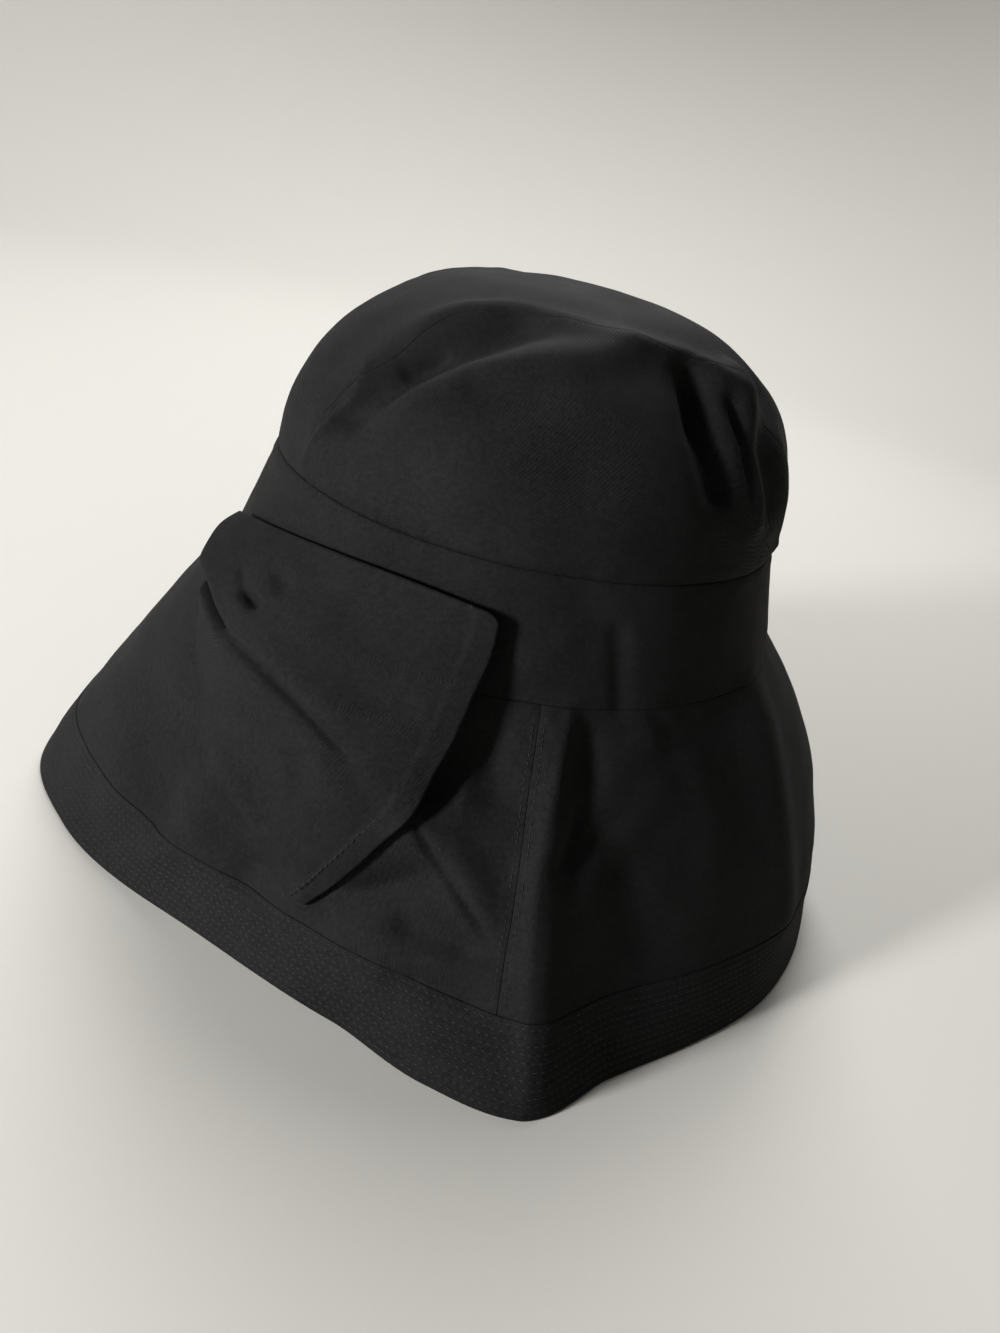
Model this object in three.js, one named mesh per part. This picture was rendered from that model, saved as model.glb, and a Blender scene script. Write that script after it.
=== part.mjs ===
import * as THREE from 'three';

// A soft cloth sun hat that stands on its rim: a crown of three panels, a side band, a deep
// drooping brim in two halves with a stitched hem band, and a loose patch pocket on the
// wearer's left. Millimetres, +Z up. The wearer faces -Y, and +X is the wearer's left.
//
// The cloth follows one surface. A place on it has an angle round the head, in degrees from
// the front towards the wearer's left, and a station down the cloth: 0 at the top of the
// crown, 1 at the crown seam, 2 at the brim seam and 3 at the rim.

// Driving sizes of the head opening and the heights of the hat
const headLength = 202;
const headWidth = 182;
const bandTaper = 11.5;
const crownHeight = 68.5;
const bandHeight = 37;
const brimDrop = 107;
const brimFlare = 55;

// Driving sizes of the panels, the hem and the pocket
const stripHalfWidth = 37;
const hemWidth = 29;
const pocketDepth = 16;
const pocketSeat = 0.8;

// Thickness of each cloth, and the gap between pieces that are sewn together
const clothThickness = 2;
const hemThickness = 2.6;
const pocketThickness = 1.7;
const seamGap = 0.3;

// The dents and folds in the cloth
const foldDepth = 5;
const foldWidth = 9;
const seamRidge = 1.8;

// How square the crown is seen from the side: 2 is an ellipse
const crownSquareness = 2.22;

// Angles of the two side seams of the brim
const leftSeamAngle = 89;
const rightSeamAngle = 271;

// Facets of each piece
const shownColumns = 25;
const hiddenColumns = 15;
const bandRows = 3;
const brimRows = 12;
const hemRows = 2;
const crownRows = 22;
const stripColumns = 8;
const sideColumns = 10;
const pocketRows = 19;
const pocketColumns = 12;

// The rim from above and the brim from the side, all the way round. Reach is a share of
// brimFlare, and bulge, which rounds the brim between its seam and its rim, of brimDrop.
const rimTable = [
  { angle: 0, reach: 1.16, bulge: 0.03 },
  { angle: 15, reach: 0.97, bulge: 0.03 },
  { angle: 42, reach: 0.62, bulge: 0.05 },
  { angle: 68, reach: 0.71, bulge: 0.05 },
  { angle: 82, reach: 0.98, bulge: 0.02 },
  { angle: 94, reach: 1.16, bulge: 0.0 },
  { angle: 106, reach: 0.96, bulge: 0.0 },
  { angle: 120, reach: 0.91, bulge: 0.03 },
  { angle: 138, reach: 0.95, bulge: 0.07 },
  { angle: 162, reach: 0.94, bulge: 0.12 },
  { angle: 185, reach: 0.8, bulge: 0.13 },
  { angle: 215, reach: 0.88, bulge: 0.1 },
  { angle: 245, reach: 0.95, bulge: 0.06 },
  { angle: 268, reach: 1.06, bulge: 0.02 },
  { angle: 295, reach: 0.88, bulge: 0.04 },
  { angle: 328, reach: 1.0, bulge: 0.04 },
];

// The edge of the crown's centre strip. Along is the place between the back of the crown,
// 1, and its front, -1, and aside is a share of stripHalfWidth.
const stripTable = [
  { along: -1, aside: 1.0 },
  { along: -0.75, aside: 1.0 },
  { along: -0.5, aside: 0.88 },
  { along: -0.25, aside: 0.93 },
  { along: 0, aside: 1.05 },
  { along: 0.2, aside: 1.11 },
  { along: 0.42, aside: 1.04 },
  { along: 0.68, aside: 0.9 },
  { along: 1, aside: 0.88 },
];

// Ridges, which rise, and valleys, which have a rise below 0. Each runs from one place
// by a middle place to an end, each an angle and a station. Width is a share of foldWidth
// and rise of foldDepth.
const foldTable = [
  { from: [34, 0.78], by: [38, 0.62], to: [58, 0.35], width: 1.0, rise: -1.0 },
  { from: [31, 0.88], by: [54, 0.54], to: [100, 0.35], width: 0.8, rise: 0.5 },
  { from: [62, 0.6], by: [66, 0.58], to: [71, 0.57], width: 1.0, rise: -0.35 },
  { from: [123, 0.42], by: [120, 0.58], to: [123, 0.74], width: 0.75, rise: -0.9 },
  { from: [144, 0.44], by: [134, 0.64], to: [137, 0.84], width: 0.7, rise: 0.6 },
  { from: [158, 0.5], by: [146, 0.66], to: [147, 0.82], width: 0.8, rise: -0.7 },
  { from: [160, 0.35], by: [168, 0.5], to: [176, 0.6], width: 2.4, rise: 0.7 },
  { from: [215, 0.45], by: [222, 0.6], to: [226, 0.76], width: 0.9, rise: -0.6 },
  { from: [285, 0.4], by: [300, 0.56], to: [312, 0.8], width: 1.1, rise: -0.7 },
  { from: [103, 1.4], by: [104, 1.65], to: [105, 1.95], width: 0.4, rise: -0.25 },
  { from: [94, 2.06], by: [93, 2.4], to: [95, 2.9], width: 0.7, rise: 0.45 },
  { from: [72, 2.36], by: [79, 2.44], to: [87, 2.57], width: 0.7, rise: 0.55 },
  { from: [62, 2.67], by: [68, 2.6], to: [75, 2.5], width: 0.9, rise: -0.7 },
  { from: [76, 2.62], by: [81, 2.6], to: [87, 2.59], width: 0.9, rise: -0.6 },
  { from: [76, 2.78], by: [80, 2.75], to: [85, 2.74], width: 0.8, rise: -0.4 },
  { from: [73, 2.25], by: [79, 2.11], to: [83, 2.22], width: 0.9, rise: -0.6 },
  { from: [97, 2.08], by: [99, 2.2], to: [98, 2.36], width: 0.8, rise: -0.5 },
  { from: [95, 2.32], by: [103, 2.2], to: [111, 2.08], width: 0.8, rise: 0.3 },
  { from: [102, 2.4], by: [107, 2.32], to: [113, 2.22], width: 0.9, rise: 0.3 },
  { from: [142, 2.05], by: [140, 2.35], to: [141, 2.7], width: 1.2, rise: 0.6 },
  { from: [39, 2.52], by: [36, 2.64], to: [33, 2.8], width: 1.2, rise: 0.7 },
  { from: [40, 2.57], by: [44, 2.62], to: [48, 2.67], width: 1.1, rise: -0.7 },
  { from: [49, 2.7], by: [54, 2.66], to: [60, 2.62], width: 0.8, rise: -0.5 },
  { from: [17, 2.5], by: [22, 2.58], to: [29, 2.7], width: 1.6, rise: -0.8 },
  { from: [208, 2.1], by: [212, 2.4], to: [211, 2.75], width: 1.5, rise: 0.7 },
  { from: [240, 2.3], by: [236, 2.5], to: [239, 2.8], width: 1.6, rise: -0.6 },
  { from: [302, 2.15], by: [306, 2.45], to: [303, 2.8], width: 1.6, rise: 0.7 },
  { from: [336, 2.3], by: [340, 2.5], to: [338, 2.8], width: 1.5, rise: -0.6 },
];

// The loose patch pocket from its top edge on the band to its tip above the hem. Each row
// runs from the front edge to the rear edge, each an angle and a station, and bow lifts
// its middle towards the crown. Off is how far it stands off the hat at the front edge,
// at a third, at two thirds and at the rear edge, as shares of pocketDepth.
const pocketTable = [
  { front: [10, 1.61], rear: [77, 1.37], bow: 0.17, off: [0.12, 0.03, 0.08, 0.12] },
  { front: [12.5, 1.76], rear: [78, 1.63], bow: 0.08, off: [0.5, 0.3, 0.16, 0.32] },
  { front: [17, 1.97], rear: [76, 1.85], bow: 0.02, off: [0.75, 0.56, 0.4, 0.65] },
  { front: [21.5, 2.08], rear: [74.5, 2.08], bow: -0.02, off: [0.6, 0.7, 0.62, 0.9] },
  { front: [23, 2.21], rear: [73.5, 2.19], bow: -0.01, off: [0.12, 0.4, 0.6, 0.85] },
  { front: [27.5, 2.32], rear: [72, 2.3], bow: 0.0, off: [0.06, 0.24, 0.45, 0.5] },
  { front: [31.5, 2.43], rear: [69, 2.4], bow: 0.0, off: [0.06, 0.2, 0.28, 0.12] },
  { front: [37, 2.54], rear: [66, 2.51], bow: 0.0, off: [0.06, 0.15, 0.18, 0.05] },
  { front: [43, 2.66], rear: [62.5, 2.62], bow: 0.0, off: [0.05, 0.08, 0.1, 0.04] },
  { front: [52, 2.71], rear: [59.5, 2.7], bow: 0.0, off: [0.03, 0.04, 0.04, 0.03] },
];

// A smooth value between the rows of a table, where place and span give the row's place
function smoothBetween(before, low, high, after, share, width) {
  const startSlope = ((high.value - before.value) / (high.place - before.place)) * width;
  const endSlope = ((after.value - low.value) / (after.place - low.place)) * width;
  const s2 = share * share;
  const s3 = s2 * share;
  return (2 * s3 - 3 * s2 + 1) * low.value + (s3 - 2 * s2 + share) * startSlope
    + (3 * s2 - 2 * s3) * high.value + (s3 - s2) * endSlope;
}

// The value of a column of rimTable at an angle, smooth all the way round
function roundTheRim(column, angle) {
  const count = rimTable.length;
  const turned = THREE.MathUtils.euclideanModulo(angle, 360);
  const row = (index) => {
    const turns = Math.floor(index / count);
    const at = rimTable[index - turns * count];
    return { place: at.angle + 360 * turns, value: at[column] };
  };
  let index = count - 1;
  while (row(index).place > turned) index -= 1;
  const low = row(index);
  const high = row(index + 1);
  const width = high.place - low.place;
  return smoothBetween(row(index - 1), low, high, row(index + 2), (turned - low.place) / width, width);
}

// The value at a place along a list of places and values, smooth, with its ends held
function alongRows(rows, place) {
  const last = rows.length - 1;
  const held = THREE.MathUtils.clamp(place, rows[0].place, rows[last].place);
  let index = last - 1;
  while (index > 0 && rows[index].place > held) index -= 1;
  const low = rows[index];
  const high = rows[index + 1];
  const width = high.place - low.place;
  const before = index > 0 ? rows[index - 1] : { place: low.place - width, value: low.value };
  const after = index < last - 1 ? rows[index + 2] : { place: high.place + width, value: high.value };
  return smoothBetween(before, low, high, after, (held - low.place) / width, width);
}

const stripRows = stripTable.map((row) => ({ place: row.along, value: row.aside * stripHalfWidth }));

// Half the width of the centre strip, at a place from the front, -1, to the back, 1
function stripEdge(along) {
  return alongRows(stripRows, along);
}

// Sizes that follow from the driving ones
const crownHalfWidth = headWidth / 2 - bandTaper;
const crownHalfLength = headLength / 2 - bandTaper;
const bandTop = brimDrop + bandHeight;
const bandSlant = Math.hypot(bandHeight, bandTaper);
const brimSlant = Math.hypot(brimDrop, brimFlare);
const crownArc = (Math.PI / 4) * (crownHeight + (crownHalfWidth + crownHalfLength) / 2);
const hemStation = 3 - hemWidth / brimSlant;

// The distance from the axis of an oval at an angle
function ovalRadius(halfWidth, halfLength, angle) {
  const turn = THREE.MathUtils.degToRad(angle);
  return 1 / Math.hypot(Math.sin(turn) / halfWidth, Math.cos(turn) / halfLength);
}

// The distance from the axis and the height of the cloth before its folds
function plainProfile(angle, station) {
  const topRadius = ovalRadius(crownHalfWidth, crownHalfLength, angle);
  if (station <= 1) {
    const turn = (station * Math.PI) / 2;
    const power = 2 / crownSquareness;
    return {
      radius: topRadius * Math.sin(turn) ** power,
      height: bandTop + crownHeight * Math.max(Math.cos(turn), 0) ** power,
    };
  }
  const seamRadius = ovalRadius(headWidth / 2, headLength / 2, angle);
  if (station <= 2) {
    const down = station - 1;
    return {
      radius: topRadius + (seamRadius - topRadius) * down,
      height: bandTop - bandHeight * down,
    };
  }
  const down = station - 2;
  const swell = 4 * down * (1 - down) * (1.25 - 0.5 * down);
  return {
    radius: seamRadius + brimFlare * roundTheRim('reach', angle) * down
      + brimDrop * roundTheRim('bulge', angle) * swell,
    height: brimDrop * (1 - down),
  };
}

// The distance down the cloth of a station, in mm
function clothDistance(station) {
  const inCrown = Math.min(station, 1) * crownArc;
  const inBand = THREE.MathUtils.clamp(station - 1, 0, 1) * bandSlant;
  return inCrown + inBand + Math.max(station - 2, 0) * brimSlant;
}

// How far a place on the cloth is from a straight stretch of a fold, in mm
function distanceToStretch(angle, station, radius, start, end) {
  const middle = (start[0] + end[0]) / 2;
  const across = (value) => THREE.MathUtils.degToRad(value) * radius;
  const turned = THREE.MathUtils.euclideanModulo(angle - middle + 180, 360) - 180;
  const point = new THREE.Vector2(across(turned), clothDistance(station));
  const first = new THREE.Vector2(across(start[0] - middle), clothDistance(start[1]));
  const second = new THREE.Vector2(across(end[0] - middle), clothDistance(end[1]));
  const run = second.clone().sub(first);
  const share = point.clone().sub(first).dot(run) / run.lengthSq();
  return point.distanceTo(first.addScaledVector(run, THREE.MathUtils.clamp(share, 0, 1)));
}

// How far the folds lift the cloth off its plain form
function foldLift(angle, station, radius) {
  let lift = 0;
  for (const fold of foldTable) {
    const near = Math.min(
      distanceToStretch(angle, station, radius, fold.from, fold.by),
      distanceToStretch(angle, station, radius, fold.by, fold.to),
    );
    lift += fold.rise * foldDepth * Math.exp(-((near / (fold.width * foldWidth)) ** 2));
  }
  return lift;
}

// How far the seams beside the centre strip lift the crown
function seamLift(angle, station, radius) {
  if (station >= 1) return 0;
  const turn = THREE.MathUtils.degToRad(angle);
  const aside = Math.abs(radius * Math.sin(turn));
  const along = (-radius * Math.cos(turn)) / crownHalfLength;
  const near = (aside - stripEdge(along)) / (foldWidth * 0.7);
  const fade = 1 - station ** 6;
  return seamRidge * fade * Math.exp(-near * near);
}

// A point on the cloth, raised off its outside by the given distance in mm. The way out
// turns smoothly past the seams, so that pieces which meet there rise alike.
function clothPoint(angle, station, raised = 0) {
  const step = 0.04;
  const { radius, height } = plainProfile(angle, station);
  const above = plainProfile(angle, Math.max(station - step, step / 4));
  const below = plainProfile(angle, Math.min(station + step, 3));
  const fall = new THREE.Vector2(below.radius - above.radius, below.height - above.height).normalize();
  const level = THREE.MathUtils.smoothstep(station, 2.85, 3);
  const outward = THREE.MathUtils.lerp(-fall.y, 1, level);
  const upward = THREE.MathUtils.lerp(fall.x, 0, level);
  const rise = raised + foldLift(angle, station, radius) + seamLift(angle, station, radius);
  const turn = THREE.MathUtils.degToRad(angle);
  const far = radius + outward * rise;
  return new THREE.Vector3(far * Math.sin(turn), -far * Math.cos(turn), height + upward * rise);
}

// The station where the plain crown is this far from the axis
function crownStation(angle, radius) {
  const share = Math.min(radius / ovalRadius(crownHalfWidth, crownHalfLength, angle), 1);
  return (2 / Math.PI) * Math.asin(share ** (crownSquareness / 2));
}

// A point on the crown straight above or below a place in plan
function crownPoint(x, y, raised) {
  const angle = THREE.MathUtils.radToDeg(Math.atan2(x, -y));
  const seamShare = 1 - seamGap / 2 / crownArc;
  return clothPoint(angle, crownStation(angle, Math.hypot(x, y)) * seamShare, raised);
}

// Evenly spaced numbers from start to end, both ends included
function spread(start, end, steps) {
  return Array.from({ length: steps + 1 }, (unused, index) => start + ((end - start) * index) / steps);
}

// Volume inside a mesh's triangles, below 0 where they face inwards
function signedVolume(points, triangles) {
  let volume = 0;
  for (let index = 0; index < triangles.length; index += 3) {
    const [a, b, c] = [0, 1, 2].map((corner) => points[triangles[index + corner]]);
    volume += a.dot(b.clone().cross(c)) / 6;
  }
  return volume;
}

// A closed wall between an outside and an inside grid of points. place(row, column, raised)
// gives a point, and a round wall joins its last column to its first.
function clothWall(name, colour, rows, columns, outside, inside, place, round = false) {
  const points = [];
  for (const raised of [outside, inside]) {
    for (const row of rows) {
      for (const column of columns) points.push(place(row, column, raised));
    }
  }
  const across = columns.length;
  const layer = rows.length * across;
  const triangles = [];
  const quad = (a, b, c, d) => triangles.push(a, b, c, a, c, d);
  const at = (side, row, column) => side * layer + row * across + (column % across);
  const spans = round ? across : across - 1;
  for (let column = 0; column < spans; column += 1) {
    for (let row = 0; row < rows.length - 1; row += 1) {
      quad(at(0, row, column), at(0, row + 1, column), at(0, row + 1, column + 1), at(0, row, column + 1));
      quad(at(1, row, column), at(1, row, column + 1), at(1, row + 1, column + 1), at(1, row + 1, column));
    }
    const last = rows.length - 1;
    quad(at(0, 0, column), at(0, 0, column + 1), at(1, 0, column + 1), at(1, 0, column));
    quad(at(0, last, column), at(1, last, column), at(1, last, column + 1), at(0, last, column + 1));
  }
  if (!round) {
    const last = across - 1;
    for (let row = 0; row < rows.length - 1; row += 1) {
      quad(at(0, row, 0), at(1, row, 0), at(1, row + 1, 0), at(0, row + 1, 0));
      quad(at(0, row, last), at(0, row + 1, last), at(1, row + 1, last), at(1, row, last));
    }
  }
  if (signedVolume(points, triangles) < 0) triangles.reverse();
  const geometry = new THREE.BufferGeometry();
  geometry.setFromPoints(points);
  geometry.setIndex(triangles);
  geometry.computeVertexNormals();
  const material = new THREE.MeshStandardMaterial({ color: colour, roughness: 0.86, metalness: 0 });
  const mesh = new THREE.Mesh(geometry, material);
  mesh.name = name;
  return mesh;
}

// The strip over the top of the crown, from front to back
function makeCentreStrip() {
  const place = (turn, share, raised) => {
    const along = Math.sin((turn * Math.PI) / 2);
    const x = share * (stripEdge(along) - seamGap / 2);
    const y = along * crownHalfLength * Math.sqrt(1 - (x / crownHalfWidth) ** 2);
    return crownPoint(x, y, raised);
  };
  const rows = spread(-1, 1, crownRows);
  const columns = spread(-1, 1, stripColumns);
  return clothWall('crown_centre_strip', 0x1b1c1f, rows, columns, 0, -clothThickness, place);
}

// A panel on one side of the crown: side is 1 on the wearer's left and -1 on the right
function makeCrownSide(name, side) {
  const bluntTip = 0.985;
  const place = (turn, share, raised) => {
    const along = Math.sin((turn * Math.PI) / 2);
    const edge = stripEdge(along) + seamGap / 2;
    const y = along * crownHalfLength * Math.sqrt(1 - (edge / crownHalfWidth) ** 2);
    const reach = crownHalfWidth * Math.sqrt(1 - (y / crownHalfLength) ** 2);
    const x = edge + (reach - edge) * Math.sin((share * Math.PI) / 2);
    return crownPoint(side * x, y, raised);
  };
  const rows = [-bluntTip, ...spread(-1, 1, crownRows).slice(1, -1), bluntTip];
  const columns = spread(0, 1, sideColumns);
  return clothWall(name, 0x191a1d, rows, columns, 0, -clothThickness, place);
}

// The angles of a half of the brim, closer together on the wearer's left
function frontAngles() {
  return [...spread(rightSeamAngle - 360, 0, hiddenColumns), ...spread(0, leftSeamAngle, shownColumns).slice(1)];
}

function backAngles() {
  return [...spread(leftSeamAngle, 180, shownColumns), ...spread(180, rightSeamAngle, hiddenColumns).slice(1)];
}

function ringAngles() {
  return [...frontAngles(), ...backAngles().slice(1, -1)];
}

const alongCloth = (station, angle, raised) => clothPoint(angle, station, raised);

function makeSideBand() {
  const trim = seamGap / 2 / bandSlant;
  const rows = spread(1 + trim, 2 - trim, bandRows);
  return clothWall('side_band', 0x1a1b1e, rows, ringAngles(), 0, -clothThickness, alongCloth, true);
}

// Half of the brim, trimmed at its side seams, its top and the hem band
function makeBrimHalf(name, angles) {
  const trim = seamGap / 2 / brimSlant;
  const sideTrim = THREE.MathUtils.radToDeg(seamGap / 2 / (headWidth / 2 - clothThickness));
  const trimmed = [...angles];
  trimmed[0] += sideTrim;
  trimmed[trimmed.length - 1] -= sideTrim;
  const rows = spread(2 + trim, hemStation - trim, brimRows);
  return clothWall(name, 0x18191c, rows, trimmed, 0, -clothThickness, alongCloth);
}

// The stitched band round the rim, a little thicker than the brim on both faces
function makeHemBand() {
  const trim = seamGap / 2 / brimSlant;
  const proud = (hemThickness - clothThickness) / 2;
  const rows = spread(hemStation + trim, 3, hemRows);
  const inside = -clothThickness - proud;
  return clothWall('hem_band', 0x1c1d20, rows, ringAngles(), proud, inside, alongCloth, true);
}

// The loose patch pocket: it lies on the hat at its top, front and tip, and gapes at the rear
function makePocketPatch() {
  const last = pocketTable.length - 1;
  const column = (read) => pocketTable.map((row, index) => ({ place: index / last, value: read(row) }));
  const frontAngle = column((row) => row.front[0]);
  const frontStation = column((row) => row.front[1]);
  const rearAngle = column((row) => row.rear[0]);
  const rearStation = column((row) => row.rear[1]);
  const bow = column((row) => row.bow);
  const offs = [0, 1, 2, 3].map((index) => column((row) => row.off[index]));
  const place = (down, back, raised) => {
    const value = (rows) => alongRows(rows, down);
    const angle = THREE.MathUtils.lerp(value(frontAngle), value(rearAngle), back);
    const straight = THREE.MathUtils.lerp(value(frontStation), value(rearStation), back);
    const station = straight - value(bow) * 4 * back * (1 - back);
    const off = alongRows(offs.map((rows, index) => ({ place: index / 3, value: value(rows) })), back);
    return clothPoint(angle, station, raised + Math.max(off, 0) * pocketDepth);
  };
  const rows = spread(0, 1, pocketRows);
  const columns = spread(0, 1, pocketColumns);
  const inside = pocketSeat;
  return clothWall('pocket_patch', 0x1d1e21, rows, columns, inside + pocketThickness, inside, place);
}

const hat = new THREE.Group();
hat.add(
  makeCentreStrip(),
  makeCrownSide('crown_side_left', 1),
  makeCrownSide('crown_side_right', -1),
  makeSideBand(),
  makeBrimHalf('brim_front', frontAngles()),
  makeBrimHalf('brim_back', backAngles()),
  makeHemBand(),
  makePocketPatch(),
);

// The origin is under the middle of the hat, on the surface that the rim rests on
const middle = new THREE.Box3().setFromObject(hat).getCenter(new THREE.Vector3());
hat.position.set(-middle.x, -middle.y, 0);

export default hat;
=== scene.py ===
"""The looks of a soft black cloth sun hat that rests on its rim.

Every length is in millimetres until a mesh is made. A place on the cloth has an angle round
the head, in degrees from the front towards the wearer's left, and a station down the cloth:
0 at the top of the crown, 1 at the crown seam, 2 at the brim seam and 3 at the rim.
"""

import logging
from dataclasses import dataclass, field
from enum import Enum

import bpy
import numpy as np
from mathutils import Matrix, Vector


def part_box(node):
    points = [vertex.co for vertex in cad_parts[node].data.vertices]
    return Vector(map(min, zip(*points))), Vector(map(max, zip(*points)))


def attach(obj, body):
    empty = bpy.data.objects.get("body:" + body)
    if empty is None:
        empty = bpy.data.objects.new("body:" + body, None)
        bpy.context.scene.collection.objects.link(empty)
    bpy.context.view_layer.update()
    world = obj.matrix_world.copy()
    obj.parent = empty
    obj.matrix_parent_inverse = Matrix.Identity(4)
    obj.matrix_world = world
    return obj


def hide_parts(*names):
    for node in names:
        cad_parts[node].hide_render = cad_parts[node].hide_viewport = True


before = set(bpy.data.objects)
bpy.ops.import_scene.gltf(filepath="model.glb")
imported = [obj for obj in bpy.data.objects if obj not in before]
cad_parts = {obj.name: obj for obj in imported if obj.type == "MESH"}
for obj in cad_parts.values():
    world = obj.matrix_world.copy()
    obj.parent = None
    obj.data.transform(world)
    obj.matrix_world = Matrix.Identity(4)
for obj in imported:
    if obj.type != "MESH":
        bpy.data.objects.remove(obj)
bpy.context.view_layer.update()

MM = 0.001
LOG = logging.getLogger("hat")
Value = bpy.types.NodeSocket | float
Tint = bpy.types.NodeSocket | tuple[float, float, float]


@dataclass(frozen=True)
class HatSizes:
    """The driving sizes of the hat, in mm, as its solids have them."""

    head_length: float = 202.0
    head_width: float = 182.0
    band_taper: float = 11.5
    crown_height: float = 68.5
    band_height: float = 37.0
    brim_drop: float = 107.0
    brim_flare: float = 55.0
    strip_half_width: float = 37.0
    hem_width: float = 29.0
    pocket_depth: float = 16.0
    pocket_seat: float = 0.8
    cloth: float = 2.0
    hem_cloth: float = 2.6
    pocket_cloth: float = 1.7
    seam_gap: float = 0.1
    fold_depth: float = 5.0
    fold_width: float = 9.0
    seam_ridge: float = 1.8
    crown_squareness: float = 2.22
    left_seam: float = 89.0
    right_seam: float = 271.0

    @property
    def crown_half_width(self) -> float:
        """Half the width of the crown at its seam."""
        return self.head_width / 2 - self.band_taper

    @property
    def crown_half_length(self) -> float:
        """Half the length of the crown at its seam."""
        return self.head_length / 2 - self.band_taper

    @property
    def band_top(self) -> float:
        """Height of the crown seam."""
        return self.brim_drop + self.band_height

    @property
    def band_slant(self) -> float:
        """Distance down the cloth of the band."""
        return float(np.hypot(self.band_height, self.band_taper))

    @property
    def brim_slant(self) -> float:
        """Distance down the cloth of the brim."""
        return float(np.hypot(self.brim_drop, self.brim_flare))

    @property
    def crown_arc(self) -> float:
        """Distance down the cloth from the top of the crown to its seam."""
        mean = (self.crown_half_width + self.crown_half_length) / 2
        return float(np.pi / 4 * (self.crown_height + mean))

    @property
    def hem_station(self) -> float:
        """Station of the top of the hem band."""
        return 3.0 - self.hem_width / self.brim_slant


@dataclass(frozen=True)
class RimRow:
    """One place round the rim: reach is a share of the flare and bulge of the drop."""

    angle: float
    reach: float
    bulge: float


@dataclass(frozen=True)
class Fold:
    """A ridge, or a valley where rise is below 0, through three places on the cloth."""

    start: tuple[float, float]
    middle: tuple[float, float]
    end: tuple[float, float]
    width: float
    rise: float


@dataclass(frozen=True)
class Crease:
    """A narrow ridge, or a valley where rise is below 0, along a path that fades at its ends.

    The path has two numbers for each place: angle and station on the hat, or the shares down
    and back on the pocket. Width and rise are in mm, and a sharp crease has a pointed crest.
    """

    path: tuple[tuple[float, float], ...]
    width: float
    rise: float
    sharp: bool = False


@dataclass(frozen=True)
class Wrinkle:
    """One scale of the cloth's unevenness: where its noise is read, its bumps and its height, in mm."""

    shift: float
    cell: tuple[float, float, float]
    height: float


@dataclass(frozen=True)
class SeamForm:
    """How a sewn edge dips at its seam and puffs up beside it, in mm."""

    dip: float
    dip_width: float
    puff: float
    pucker: float
    puff_place: float
    turned_in: float
    puff_width: float = 2.2
    turn_width: float = 0.5


@dataclass(frozen=True)
class PocketRow:
    """One row of the pocket, from its front edge to its rear edge."""

    front: tuple[float, float]
    rear: tuple[float, float]
    bow: float
    off: tuple[float, float, float, float]


RIM = (
    RimRow(0, 1.16, 0.03),
    RimRow(15, 0.97, 0.03),
    RimRow(42, 0.62, 0.05),
    RimRow(68, 0.71, 0.05),
    RimRow(82, 0.98, 0.02),
    RimRow(94, 1.16, 0.0),
    RimRow(106, 0.96, 0.0),
    RimRow(120, 0.91, 0.03),
    RimRow(138, 0.95, 0.07),
    RimRow(162, 0.94, 0.12),
    RimRow(185, 0.8, 0.13),
    RimRow(215, 0.88, 0.1),
    RimRow(245, 0.95, 0.06),
    RimRow(268, 1.06, 0.02),
    RimRow(295, 0.88, 0.04),
    RimRow(328, 1.0, 0.04),
)

STRIP_EDGE = (
    (-1.0, 1.0),
    (-0.75, 1.0),
    (-0.5, 0.88),
    (-0.25, 0.93),
    (0.0, 1.05),
    (0.2, 1.11),
    (0.42, 1.04),
    (0.68, 0.9),
    (1.0, 0.88),
)

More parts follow.
